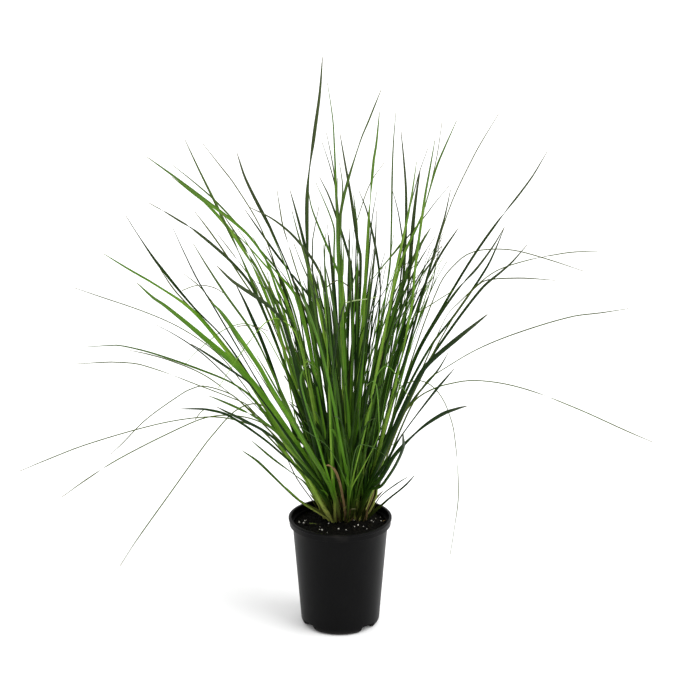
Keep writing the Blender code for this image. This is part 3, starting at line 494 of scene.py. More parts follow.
def pot_section(lift):
    """The pot's section, from under the floor, round the rim, to the floor's top."""
    top = POT_HEIGHT
    collar_foot = top - COLLAR_HEIGHT
    ledge = collar_foot + WALL
    foot_floor = lift + WALL
    corners = [(FOOT_INNER_RADIUS, FLOOR_UNDERSIDE, FINE_EDGE), (FOOT_INNER_RADIUS, lift, FINE_EDGE)]
    for row in range(SKIRT_ROWS + 1):
        z = lerp(lift, SKIRT_HEIGHT, (row / SKIRT_ROWS) ** 2)
        corners.append((wall_radius(z), z, 0.0))
    corners += [
        (wall_radius(collar_foot), collar_foot, FINE_EDGE),
        (COLLAR_RADIUS, collar_foot, FINE_EDGE),
        (COLLAR_RADIUS, top - LIP_HEIGHT, FINE_EDGE),
        (RIM_RADIUS, top - LIP_HEIGHT, RIM_EDGE),
        (RIM_RADIUS, top, RIM_EDGE),
        (RIM_INNER_RADIUS, top, RIM_EDGE),
        (RIM_INNER_RADIUS, ledge, FINE_EDGE),
        (wall_radius(ledge) - WALL, ledge, FINE_EDGE),
        (wall_radius(FLOOR_Z) - WALL, FLOOR_Z, 0.0),
        (wall_radius(foot_floor) - WALL, foot_floor, FINE_EDGE),
        (FOOT_INNER_RADIUS + WALL, foot_floor, FINE_EDGE),
        (FOOT_INNER_RADIUS + WALL, FLOOR_Z, FINE_EDGE),
        (0.0, FLOOR_Z, 0.0),
    ]
    return rounded([(0.0, FLOOR_UNDERSIDE, 0.0), *corners])


def lathe(sections, angles):
    """A closed mesh of one section at each angle. A section's first and last point stand on the axis."""
    work = bmesh.new()
    bottom = work.verts.new((0, 0, sections[0][0].y))
    top = work.verts.new((0, 0, sections[0][-1].y))
    columns = []
    for section, angle in zip(sections, angles):
        columns.append([work.verts.new(polar(point.x, angle, point.y)) for point in section[1:-1]])
    for column, after in zip(columns, columns[1:] + columns[:1]):
        work.faces.new((bottom, after[0], column[0]))
        work.faces.new((top, column[-1], after[-1]))
        for i in range(len(column) - 1):
            work.faces.new((column[i], after[i], after[i + 1], column[i + 1]))
    bmesh.ops.recalc_face_normals(work, faces=work.faces)
    mesh = mesh_of(work, "lathe")
    mesh.shade_smooth()
    return mesh


def drain_cutter(number, arch_middle):
    """A round peg that cuts one drain hole."""
    middle = polar(DRAIN_CIRCLE, math.radians(FRONT_FOOT_ANGLE + arch_middle), ARCH_HEIGHT + WALL / 2)
    work = bmesh.new()
    bmesh.ops.create_cone(
        work, cap_ends=True, segments=DRAIN_SIDES, radius1=DRAIN_RADIUS, radius2=DRAIN_RADIUS,
        depth=DRAIN_DEPTH, matrix=Matrix.Translation(middle),
    )
    return add_object(f"drain_cutter_{number}", mesh_of(work, "drain"))


DUST_COLOUR = (0.040, 0.036, 0.031)
RIM_DUST_REACH = 26 * MM
FOOT_DUST_REACH = 10 * MM
CLOUD_ROUGHNESS = 0.10
SCUFF_ROUGHNESS = 0.08


def plastic_finish(settings):
    """Black moulded plastic: satin, with a faint grain, rubbed paler here and there, dusty near the mix."""
    material, graph, shader = surface_graph("pot_plastic")
    place = graph.object_place()
    height = graph.parts(place)[2]
    cloud = graph.noise(place, scale=28.0, detail=4.0)
    scuffs = graph.noise(graph.stretched(place, (1.0, 1.0, 0.12)), scale=420.0, detail=3.0, roughness=0.6)
    grain = graph.noise(place, scale=1500.0)
    rim_dust = height.rise(POT_HEIGHT - RIM_DUST_REACH, POT_HEIGHT) * cloud.rise(0.45, 0.75)
    foot_dust = height.rise(FOOT_DUST_REACH, 0.0) * 0.6
    rubbed = graph.blend(settings.colour, times(settings.colour, 1.5), cloud.rise(0.3, 0.8))
    level = settings.roughness - (CLOUD_ROUGHNESS + SCUFF_ROUGHNESS) / 2
    graph.plug(shader, {
        "Base Color": graph.blend(rubbed, DUST_COLOUR, (rim_dust + foot_dust) * 0.35),
        "Roughness": cloud * CLOUD_ROUGHNESS + scuffs * SCUFF_ROUGHNESS + level,
        "Normal": graph.bump(grain * 0.6 + scuffs * 0.4, distance=0.05 * MM, strength=0.35),
        "Specular IOR Level": 0.065,
    })
    return material


class GRASS_OT_pot(bpy.types.Operator):
    """Builds the nursery pot with its rim, feet and drain holes"""

    bl_idname = "grass_clump.pot"
    bl_label = "Nursery Pot"

    def execute(self, context):
        turns = [360 * i / POT_SIDES for i in range(POT_SIDES)]
        sections = [pot_section(arch_lift(turn)) for turn in turns]
        angles = [math.radians(FRONT_FOOT_ANGLE + turn) for turn in turns]
        carrier = add_object("pot_carrier", lathe(sections, angles))
        cutters = [drain_cutter(i, (start + end) / 2) for i, (start, end) in enumerate(arches())]
        for cutter in cutters:
            cut = carrier.modifiers.new(cutter.name, "BOOLEAN")
            cut.operation = "DIFFERENCE"
            cut.solver = "EXACT"
            cut.object = cutter
        mesh = evaluated_mesh(carrier)
        for cutter in cutters:
            bpy.data.objects.remove(cutter, do_unlink=True)
        mesh.materials.clear()
        mesh.materials.append(plastic_finish(context.scene.grass_clump.pot))
        check_outward(mesh, "nursery_pot")
        piece = add_piece("nursery_pot", mesh)
        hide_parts("pot")
        return {"FINISHED"}


# Potting mix


def mix_height(x, y, lump_height):
    """The height of the potting mix's lumpy top."""
    out = Vector((x, y, 0)) - CROWN_CENTRE
    slope = lerp(CROWN_Z, MIX_EDGE_Z, smoothstep((out.length - CROWN_REACH / 2) / CROWN_REACH))
    lumps = noise.fractal(Vector((x, y, 0)) * LUMP_SCALE, *LUMP_FRACTAL)
    crumbs = noise.noise(Vector((x, y, CRUMB_LAYER)) * CRUMB_SCALE)
    return slope + lump_height * (LUMP_SHARE * lumps + CRUMB_SHARE * crumbs) - lump_height * SUNK_SHARE


def mix_mesh(lump_height, closed):
    """The potting mix as a closed plug, or only its top for things to lie on."""
    work = bmesh.new()
    angles = [math.tau * i / MIX_SIDES for i in range(MIX_SIDES)]
    edge = wall_radius(MIX_EDGE_Z) - WALL - MIX_FIT
    rings = []
    for row in range(MIX_RINGS):
        rings.append([])
        for angle in angles:
            x, y, _ = polar(edge * (1 - row / MIX_RINGS), angle, 0)
            rings[-1].append(work.verts.new((x, y, mix_height(x, y, lump_height))))
    middle = work.verts.new((0, 0, mix_height(0, 0, lump_height)))
    if closed:
        foot = wall_radius(MIX_BOTTOM) - WALL - MIX_FIT
        rings.insert(0, [work.verts.new(polar(foot, angle, MIX_BOTTOM)) for angle in angles])
        under = work.verts.new((0, 0, MIX_BOTTOM))
        for a, b in zip(rings[0], rings[0][1:] + rings[0][:1]):
            work.faces.new((under, b, a))
    for low, high in zip(rings, rings[1:]):
        for i in range(MIX_SIDES):
            j = (i + 1) % MIX_SIDES
            work.faces.new((low[i], low[j], high[j], high[i]))
    for a, b in zip(rings[-1], rings[-1][1:] + rings[-1][:1]):
        work.faces.new((a, b, middle))
    mesh = mesh_of(work, "potting_mix_top")
    mesh.shade_smooth()
    return mesh


BARK_GRIT = (0.022, 0.016, 0.010)
BARK_DARK = 0.35


def bark_finish(name, colour, light):
    """Moist composted bark: nearly black, mottled brown, rough, with damp glints."""
    material, graph, shader = surface_graph(name)
    place = graph.object_place()
    mottle = graph.noise(place, scale=240.0, detail=5.0, roughness=0.62)
    grit = graph.noise(place, scale=1300.0, detail=3.0, roughness=0.6)
    tone = graph.blend(times(colour, BARK_DARK), times(colour, light), mottle.rise(0.35, 0.72))
    graph.plug(shader, {
        "Base Color": graph.blend(tone, times(BARK_GRIT, light), grit.rise(0.64, 0.80)),
        "Roughness": 0.95 - grit.rise(0.5, 0.8) * 0.28,
        "Normal": graph.bump(mottle * 0.6 + grit * 0.4, distance=0.9 * MM),
        "Specular IOR Level": 0.1,
    })
    return material


class GRASS_OT_potting_mix(bpy.types.Operator):
    """Builds the potting mix with its lumpy top"""

    bl_idname = "grass_clump.potting_mix"
    bl_label = "Potting Mix"

    def execute(self, context):
        settings = context.scene.grass_clump.mix
        mesh = mix_mesh(settings.lump_height, closed=True)
        mesh.materials.append(bark_finish("moist_bark", settings.colour, light=1.6))
        check_outward(mesh, "bark_mix")
        piece = add_piece("bark_mix", mesh)
        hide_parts("potting_mix")
        return {"FINISHED"}


# What lies on the potting mix: the pixels of the white grains that the picture shows, and how a bit is made
GRAINS_SEEN = (
    (299.2, 522), (305, 520.6), (303.7, 523.3), (322, 530.4), (338.5, 529.6), (346, 530), (339.8, 524.2),
    (353.7, 522.9), (358, 526.4), (361.7, 522), (371.5, 521.5), (373.3, 522.9), (380.9, 520.6),
)
GRAIN_LIFT = 0.3 * MM
BIT_SOCKETS = (
    ("Size", "Float"), ("Flatness", "Vector"), ("Lumpiness", "Float"),
    ("Subdivisions", "Int"), ("Seed", "Int"), ("Material", "Material"),
)
BIT_TILT = 0.5
BIT_SIZES = (0.55, 1.4)


def bit_values(bits):
    """The values of a kind of bits by the names of their sockets."""
    return {name: value for (name, _), value in zip(BIT_SOCKETS, bits)}


def scatter_tree():
    """Lays lumpy bits on a surface: crumbs, chips or grains, by their density, size and flatness."""
    graph, given = group_graph("Scattered bits", [("Density", "Float"), *BIT_SOCKETS])
    points = graph.wire("GeometryNodeDistributePointsOnFaces", {"distribute_method": "RANDOM"}, {
        "Mesh": given["Geometry"], "Density": given["Density"], "Seed": given["Seed"],
    }, output="Points")
    return finish_bits(graph, given, points)


def placed_tree():
    """The same bits at the points of a mesh."""
    graph, given = group_graph("Placed bits", BIT_SOCKETS)
    return finish_bits(graph, given, given["Geometry"])


def finish_bits(graph, given, points):
    """Puts a lumpy bit on each point, turned and sized at random."""
    ball = graph.wire("GeometryNodeMeshIcoSphere", None, {
        "Radius": given["Size"], "Subdivisions": given["Subdivisions"],
    })
    flat = graph.wire("GeometryNodeTransform", None, {"Geometry": ball, "Scale": given["Flatness"]})
    turn = graph.wire("FunctionNodeRandomValue", {"data_type": "FLOAT_VECTOR"}, {
        0: (-BIT_TILT, -BIT_TILT, 0.0), 1: (BIT_TILT, BIT_TILT, math.tau), "Seed": given["Seed"],
    })
    size = graph.wire("FunctionNodeRandomValue", {"data_type": "FLOAT"}, {
        RANDOM_LOW: BIT_SIZES[0], RANDOM_HIGH: BIT_SIZES[1], "Seed": given["Seed"] + 1,
    }, RANDOM_RESULT)
    bits = graph.wire("GeometryNodeInstanceOnPoints", None, {
        "Points": points, "Instance": flat, "Rotation": turn, "Scale": graph.vector(size, size, size),
    })
    real = graph.wire("GeometryNodeRealizeInstances", None, {"Geometry": bits})
    place = graph.wire("GeometryNodeInputPosition")
    lump = graph.wire("ShaderNodeTexNoise", None, {"Vector": place, "Scale": 700.0, "Detail": 1.0}, "Color")
    off = graph.wire("ShaderNodeVectorMath", {"operation": "SUBTRACT"}, {0: lump, 1: (0.5, 0.5, 0.5)})
    moved = graph.wire("GeometryNodeSetPosition", None, {
        "Geometry": real, "Offset": graph.scaled(off, given["Size"] * given["Lumpiness"]),
    })
    finish_group(graph, moved, given["Material"])
    return graph.tree


GRAIN_WHITE = (0.62, 0.60, 0.54)
GRAIN_STAIN = (0.17, 0.13, 0.09)


def grain_finish():
    """White expanded grains: chalky, pitted, with painted shade in the pits, a little stained by the mix."""
    material, graph, shader = surface_graph("white_grain")
    place = graph.object_place()
    pits_and_shade = graph.noise(place, scale=2600.0, detail=3.0, roughness=0.6)
    stain = graph.noise(place, scale=400.0)
    colour = graph.blend(GRAIN_WHITE, GRAIN_STAIN, stain.rise(0.50, 0.80))
    graph.plug(shader, {
        # Painted shade: the grain is darker where its bump is low, in its pits.
        "Base Color": graph.shaded(colour, pits_and_shade * 0.5 + 0.7),
        "Normal": graph.bump(pits_and_shade, distance=0.25 * MM),
        "Roughness": 0.9,
    })
    return material


class GRASS_OT_litter(bpy.types.Operator):
    """Lays bark crumbs, bark chips and white grains on the potting mix"""

    bl_idname = "grass_clump.litter"
    bl_label = "Bark and Grains"

    def execute(self, context):
        settings = context.scene.grass_clump.mix
        scatter = scatter_tree()
        crumb = bark_finish("bark_crumb", settings.colour, light=3.2)
        chip = bark_finish("bark_chip", settings.colour, light=7.0)
        white = grain_finish()
        kinds = (
            ("bark_crumbs", settings.crumb_density, (0.95 * MM, (1.2, 1.0, 0.7), 0.9, 1, 3, crumb)),
            ("bark_chips", settings.chip_density, (2.0 * MM, (1.7, 0.8, 0.3), 0.5, 2, 5, chip)),
            ("white_grains", settings.grain_density, (0.95 * MM, (1.0, 0.9, 0.8), 0.6, 2, 8, white)),
        )
        for name, density, bits in kinds:
            top = mix_mesh(settings.lump_height, closed=False)
            add_piece(name, grown_mesh(top, scatter, {"Density": density, **bit_values(bits)}))
        points = []
        for pixel in GRAINS_SEEN:
            x, y, _ = sight_on_level(pixel, MIX_EDGE_Z)
            points.append((x, y, mix_height(x, y, settings.lump_height) + GRAIN_LIFT))
        mesh = bpy.data.meshes.new("grain_points")
        mesh.from_pydata(points, [], [])
        bits = (1.05 * MM, (1.1, 0.9, 0.85), 0.6, 2, 2, white)
        add_piece("front_grains", grown_mesh(mesh, placed_tree(), bit_values(bits)))
        return {"FINISHED"}


# Sight lines


def sight_ray(pixel):
    """The direction in which a pixel of the picture is seen."""
    ahead = Vector((0, math.cos(EYE_PITCH), -math.sin(EYE_PITCH)))
    across, down = ((value - MIDDLE_PX) / FOCAL_PX for value in pixel)
    return ahead + RIGHT * across - RIGHT.cross(ahead) * down


def sight_point(pixel, depth):
    """The point at world y = depth that shows at a pixel of the picture."""
    ray = sight_ray(pixel)
    return EYE + ray * ((depth - EYE.y) / ray.y)


def sight_on_level(pixel, z):
    """The point at height z that shows at a pixel of the picture."""
    ray = sight_ray(pixel)
    return EYE + ray * ((z - EYE.z) / ray.z)


def picture_pixel(point):
    """The pixel of the picture at which a point shows."""
    seen = Matrix.Rotation(EYE_PITCH, 3, "X") @ (Vector(point) - EYE)
    return Vector((MIDDLE_PX + FOCAL_PX * seen.x / seen.y, MIDDLE_PX - FOCAL_PX * seen.z / seen.y))


# Leaves read back from the CAD shoots


def joined_corners(node):
    """The corners of a merged copy of a CAD node's mesh, and which corners each one is joined to."""
    work = bmesh.new()
    work.from_mesh(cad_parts[node].data)
    bmesh.ops.remove_doubles(work, verts=work.verts, dist=MERGE_DISTANCE)
    work.verts.index_update()
    corners = [vert.co.copy() for vert in work.verts]
    joined = [{edge.other_vert(vert).index for edge in vert.link_edges} for vert in work.verts]
    work.free()
    return corners, joined


def rings_down(tip, corners, joined, low):
    """The rings of one leaf, from its tip down to its slot in the sheath."""
    rings = []
    seen = {tip}
    ring = joined[tip]
    while len(ring) == RING_CORNERS and not ring & low:
        rings.append([corners[i] for i in sorted(ring)])
        seen |= ring
        ring = set().union(*(joined[i] for i in ring)) - seen
    return rings


def flat_side(ring):
    """The middle, direction and length of a ring's longest side, which is the leaf's flat side."""
    pairs = [(ring[0], ring[1]), (ring[1], ring[2]), (ring[2], ring[0])]
    a, b = max(pairs, key=lambda pair: (pair[1] - pair[0]).length)
    return (a + b) / 2, (b - a).normalized(), (b - a).length


def taper(share, tapered=TAPER_SHARE, power=TAPER_POWER):
    """How much of its width a leaf keeps at a share of its length, the last part of it being tapered."""
    return min((1 - share) / tapered, 1.0) ** power


def read_leaves(node):
    """A shoot's foot, and for each of its leaves the points, sides and widths from slot to tip."""
    corners, joined = joined_corners(node)
    low = {i for i, corner in enumerate(corners) if abs(corner.z - FOOT_Z) < FOOT_MARGIN}
    foot = sum((corners[i] for i in low), Vector()) / len(low)
    leaves = []
    for i, corner in enumerate(corners):
        if len(joined[i]) == RING_CORNERS:
            rings = rings_down(i, corners, joined, low)
            if len(rings) >= FEWEST_RINGS:
                middles, sides, widths = zip(*(flat_side(ring) for ring in reversed(rings)))
                leaves.append((list(middles) + [corner], list(sides), list(widths)))
    return foot, leaves


def even_sides(knots, sides):
    """Sides without sudden half turns, and such that the leaf's upper face looks up more than down."""
    steady = [sides[0]]
    for side in sides[1:]:
        steady.append(side if side.dot(steady[-1]) > 0 else -side)
    up = sum((b - a).cross(side).z for a, b, side in zip(knots, knots[1:], steady))
    return steady if up > 0 else [-side for side in steady]


# The clump's core in pixels of the picture: its top, foot, middle and half width there, and how it spreads
CORE_TOP = 228
CORE_FOOT = 520
CORE_MIDDLE = 348
CORE_HALF_FOOT = 34
CORE_SPREAD = 0.27


def in_core(knots, top=CORE_TOP, middle=CORE_MIDDLE, spread=CORE_SPREAD):
    """Whether a leaf stays among the others as the picture shows them."""
    for point in knots:
        pixel = picture_pixel(point)
        half = CORE_HALF_FOOT + spread * (CORE_FOOT - pixel.y)
        if pixel.y < top or abs(pixel.x - middle) > half:
            return False
    return True


# Leaves that the picture shows one by one, by the pixels of their tips, with the finish of each group
Finish = namedtuple("Finish", "tone dryness width tapered", defaults=(SHOWN_TAPER_SHARE,))
TIP_MATCH_PX = 2.0
SHOWN_FINISHES = (
    (Finish(0.82, 0.00, 1.25), ((147, 157),)),
    (Finish(0.86, 0.00, 2.5, LONG_TAPER_SHARE), ((104, 254),)),
    (Finish(0.80, 0.00, 1.35), ((210, 301),)),
    (Finish(0.90, 0.00, 1.25), ((172, 177), (456.5, 121), (435, 140), (379.5, 112))),
    (Finish(0.95, 0.00, 0.9), ((416.5, 162), (184, 366), (218, 388))),
    (Finish(0.86, 0.00, 0.6), ((366, 386), (409, 396))),
    (Finish(0.42, 0.00, 0.75), ((292, 422), (387.5, 457))),
    (Finish(0.85, 0.00, 1.2, LONG_TAPER_SHARE), ((327.5, 83),)),
    (Finish(0.78, 0.00, 2.1, LONG_TAPER_SHARE), ((137, 283),)),
    (Finish(0.72, 0.00, 1.0), ((317, 375),)),
    (Finish(0.52, 0.03, 1.4), (
        (185, 140), (172.5, 165), (193.5, 244), (209, 396), (257, 356), (381, 90), (396, 111),
        (292, 211), (222, 213), (339.5, 163), (252, 441), (242, 450.5),
    )),
    (Finish(0.52, 0.03, 1.4, LONG_TAPER_SHARE), ((85, 347),)),
    (Finish(0.22, 0.00, 1.15), ((322.5, 57), (401, 131), (322, 142), (326.5, 133))),
    (Finish(0.08, 0.00, 1.5), (
        (237, 153), (244.5, 209), (249, 207), (290, 190), (217, 266), (235.5, 284), (359, 191), (420.5, 168),
        (467, 406), (191, 344), (217, 407), (448, 353), (454, 369),
    )),
    (Finish(0.05, 0.00, 1.35), ((487.5, 314.3),)),
    (Finish(0.14, 0.00, 1.2), (
        (149, 203), (126, 216), (172.5, 227), (157, 325.5), (180, 409), (340, 134), (377, 191), (391.5, 187),
        (449, 186), (450.5, 190), (547, 152), (504.5, 227), (504, 228), (527, 245), (428, 148), (376.5, 211),
        (319, 206.5), (403, 433), (394, 443.5), (414.5, 475.5), (407.5, 477),
    )),
    (Finish(0.38, 0.16, 0.88, HAIR_TAPER_SHARE), (
        (203, 144), (195, 212), (277, 190), (216, 232), (236, 246), (184, 274), (160, 269), (75, 288),
        (130, 350.5), (76, 364), (20, 471), (62, 497), (111, 454), (120, 566), (653.5, 442.5), (450, 555),
        (628.6, 308.6), (605, 251), (583, 271), (555, 280.3), (498.5, 114), (442, 122), (384, 163),
    )),
)

# All other leaves, by rule: their tones, which fall from left to right, their dryness and their widths. The
# fall of tone is painted light: it makes the leaves on the left brighter, as if their upper faces caught the
# key light.
TONE_MIDDLE = 0.42
TONE_SPREAD = 0.32
LEFT_PAINTED_LIGHT = 0.45
DRYNESS_MIDDLE = -0.1
DRYNESS_SPREAD = 0.1
OUTER_WIDTH = 1.5
INNER_WIDTH = 0.95
RIGHT_WIDTH = 0.5
RIGHT_START = 372
INNER_TOP = 180


def shown_at(tip, pixel):
    """Whether a leaf's tip, seen at a pixel, is the one that a table names."""
    return (Vector(tip) - pixel).length < TIP_MATCH_PX


def finish_of(tip, dice):
    """A leaf's tone from dark to lime, its dryness, its width as a share of its solid's, and its taper."""
    pixel = picture_pixel(tip)
    for finish, tips in SHOWN_FINISHES:
        if any(shown_at(shown, pixel) for shown in tips):
            return finish
    # Painted light: the further left a leaf's tip is, the higher its tone, so it shows brighter and more lime.
    tone = clamped(dice.gauss(TONE_MIDDLE - LEFT_PAINTED_LIGHT * tip.x, TONE_SPREAD))
    dryness = max(dice.gauss(DRYNESS_MIDDLE, DRYNESS_SPREAD), 0.0)
    if pixel.y < INNER_TOP or not in_core([tip]):
        return Finish(tone, dryness, OUTER_WIDTH)
    return Finish(tone, dryness, RIGHT_WIDTH if pixel.x > RIGHT_START else INNER_WIDTH)


# Waists, where leaves turn their edges to the eye, by the tip's pixel: row, reach in rows, width left
WAISTS = {
    (322.5, 57): ((168, 20, 0.35), (262, 25, 0.5)),
    (237, 153): ((258, 34, 0.35),),
    (147, 157): ((262, 25, 0.4),),
    (379.5, 112): ((195, 12, 0.5),),
    (381, 90): ((150, 25, 0.4), (262, 30, 0.4)),
    (217, 266): ((335, 32, 0.5),),
    (458.5, 228): ((290, 40, 0.4),),
    (126, 216): ((235, 18, 0.5), (332, 40, 0.45)),
    (104, 254): ((290, 14, 0.7),),
    (210, 301): (),
    (137, 283): (),
    (85, 347): ((385, 14, 0.7),),
}
WAIST_PLACES = (0.2, 0.7)
WAIST_REACHES = (10, 28)
WAIST_WIDTHS = (0.35, 0.9)


def waists_of(tip, dice):
    """The waists of a leaf as the picture shows them, or else one by rule."""
    pixel = picture_pixel(tip)
    row = pixel.y + (CORE_FOOT - pixel.y) * dice.uniform(*WAIST_PLACES)
    drawn = ((row, dice.uniform(*WAIST_REACHES), dice.uniform(*WAIST_WIDTHS)),)
    for shown, waists in WAISTS.items():
        if shown_at(shown, pixel):
            return waists
    return drawn


# Leaf blades


def smooth_course(knots):
    """Points along a smooth curve through the knots, and how many knots each is along."""
    ends = [knots[0] * 2 - knots[1], *knots, knots[-1] * 2 - knots[-2]]
    course, turns = [knots[0]], [0.0]
    for number, (before, a, b, after) in enumerate(zip(ends, ends[1:], ends[2:], ends[3:])):
        span = (b - a).length
        leave = (b - before).normalized() * span
        arrive = (after - a).normalized() * span
        for i in range(1, SPLINE_STEPS + 1):
            t = i / SPLINE_STEPS
            course.append(
                a * (2 * t**3 - 3 * t**2 + 1)
                + leave * (t**3 - 2 * t**2 + t)
                + b * (3 * t**2 - 2 * t**3)
                + arrive * (t**3 - t**2)
            )
            turns.append(number + t)
    return np.array(course), np.array(turns)


def read_at(places, known, vectors):
    """Vectors between known ones, each number on its own."""
    return np.column_stack([np.interp(places, known, numbers) for numbers in np.array(vectors).T])


def unit(rows):
    return rows / np.linalg.norm(rows, axis=1)[:, None]


def blade_rows(blade):
    """Even rows along a blade: points, sides, rises of the edges, half widths, and how far along each is."""
    course, turns = smooth_course(blade.knots)
    arcs = np.concatenate([[0.0], np.cumsum(np.linalg.norm(np.diff(course, axis=0), axis=1))])
    count = max(FEWEST_ROWS, round(arcs[-1] / ROW_LENGTH))
    runs = np.linspace(0, arcs[-1], count + 1)
    shares = runs / arcs[-1]
    points = read_at(runs, arcs, course)
    places = np.interp(runs, arcs, turns)
    ahead = unit(np.gradient(points, axis=0))
    sides = read_at(places, range(len(blade.sides)), blade.sides)
    sides = unit(sides - ahead * np.sum(sides * ahead, axis=1)[:, None])
    halves = np.maximum(np.interp(places, range(len(blade.halves)), blade.halves), LEAST_HALF_WIDTH)
    kept = np.array([taper(share, blade.tapered, SHOWN_TAPER_POWER) for share in shares])
    rows = np.array([picture_pixel(Vector(point)).y for point in points])
    for row, reach, left in blade.waists:
        kept = kept * (1 - (1 - left) * np.exp(-(((rows - row) / reach) ** 2)))
    halves = np.maximum(halves * kept, TIP_HALF_WIDTH)
    cups = CUP_LEAST + blade.cup + (CUP_FOOT - CUP_LEAST) * np.exp(-((runs / CUP_FALL) ** 2))
    rises = np.cross(ahead, sides) * (halves * cups)[:, None]
    return points, sides, rises, halves, shares, runs


def guide_mesh(blades):
    """One line of points for each blade, with what the leaf tree needs at each point."""
    table = {name: [] for name in ("place", "side", "rise", "half_width", "strip", "finish")}
    edges = []
    for lane, blade in enumerate(blades):
        *vectors, shares, runs = blade_rows(blade)
        first = len(table["place"])
        edges += [(first + i, first + i + 1) for i in range(len(runs) - 1)]
        for name, rows in zip(table, vectors):
            table[name] += rows.tolist()
        table["strip"] += [(lane / len(blades), STRIP_FILL / len(blades), share) for share in shares]
        table["finish"] += [(blade.tone, blade.dryness, run + blade.start) for run in runs]
    mesh = bpy.data.meshes.new("guides")
    mesh.from_pydata(table.pop("place"), edges, [])
    for name, values in table.items():
        if name == "half_width":
            mesh.attributes.new(name, "FLOAT", "POINT").data.foreach_set("value", values)
        else:
            mesh.attributes.new(name, "FLOAT_VECTOR", "POINT").data.foreach_set("vector", np.ravel(values))
    return mesh


# How far apart the parts of the ripple noise are that leaves and their two edges read
LANE_STEP = 97.0
EDGE_STEP = 5.0


def leaf_tree():
    """Leaf blades along guide lines: a thin cupped section, drawn to a point, its edges a little rippled."""
    graph, given = group_graph("Leaf blades", [
        ("Columns", "Int"), ("Thickness", "Float"), ("Cup Power", "Float"), ("Ripple", "Float"),
        ("Ripple Scale", "Float"), ("Material", "Material"),
    ])

    def named(name, kind="FLOAT_VECTOR"):
        return graph.wire("GeometryNodeInputNamedAttribute", {"data_type": kind}, {"Name": name})

    lines = graph.wire("GeometryNodeMeshToCurve", None, {"Mesh": given["Geometry"]})
    lines = graph.wire("GeometryNodeSetCurveNormal", {"mode": "FREE"}, {
        "Curve": lines, "Normal": named("side"),
    })
    section = graph.wire("GeometryNodeCurvePrimitiveCircle", {"mode": "RADIUS"}, {
        "Resolution": given["Columns"], "Radius": 1.0,
    })
    x, y, _ = graph.parts(graph.wire("GeometryNodeInputPosition"))
    section = graph.wire("GeometryNodeStoreNamedAttribute", {"data_type": "FLOAT", "domain": "POINT"}, {
        "Geometry": section, "Name": "across", "Value": x,
    })
    section = graph.wire("GeometryNodeSetPosition", None, {
        "Geometry": section, "Position": graph.vector(x, y * given["Thickness"], 0.0),
    })
    blades = graph.wire("GeometryNodeCurveToMesh", None, {
        "Curve": lines, "Profile Curve": section, "Scale": named("half_width", "FLOAT"), "Fill Caps": True,
    })
    across = named("across", "FLOAT")
    lane, lane_width, share = graph.parts(named("strip"))
    wave = graph.wire("ShaderNodeTexNoise", {"noise_dimensions": "2D"}, {
        "Vector": graph.vector(lane * LANE_STEP + across.sign() * EDGE_STEP, share, 0.0),
        "Scale": given["Ripple Scale"], "Detail": 1.0,
    })
    lift = abs(across) ** given["Cup Power"] * (1.0 + (wave - 0.5) * given["Ripple"])
    blades = graph.wire("GeometryNodeSetPosition", None, {
        "Geometry": blades, "Offset": graph.scaled(named("rise"), lift),
    })
    strip = graph.vector(lane + (across * 0.5 + 0.5) * lane_width, share, 0.0)
    blades = graph.wire("GeometryNodeStoreNamedAttribute", {"data_type": "FLOAT2", "domain": "CORNER"}, {
        "Geometry": blades, "Name": "OFBake", "Value": strip,
    })
    finish_group(graph, blades, given["Material"])
    return graph.tree


# Leaf colours besides the settings, and from where to where the sheath fades out and the sun pales a leaf
SUNNED = (0.098, 0.116, 0.052)
SHEATH_OLIVE = (0.030, 0.038, 0.006)
SHEATH_PALE = (0.520, 0.560, 0.140)
SHEATH_BROWN = (0.170, 0.110, 0.040)
BLANCHED = (0.430, 0.520, 0.270)
STRAW_PALE = (0.300, 0.210, 0.095)
STRAW_BROWN = (0.120, 0.070, 0.032)
SHEATH_TOP = 66 * MM
SHEATH_FOOT = 10 * MM
SUN_FROM = 400 * MM
SUN_TO = 680 * MM


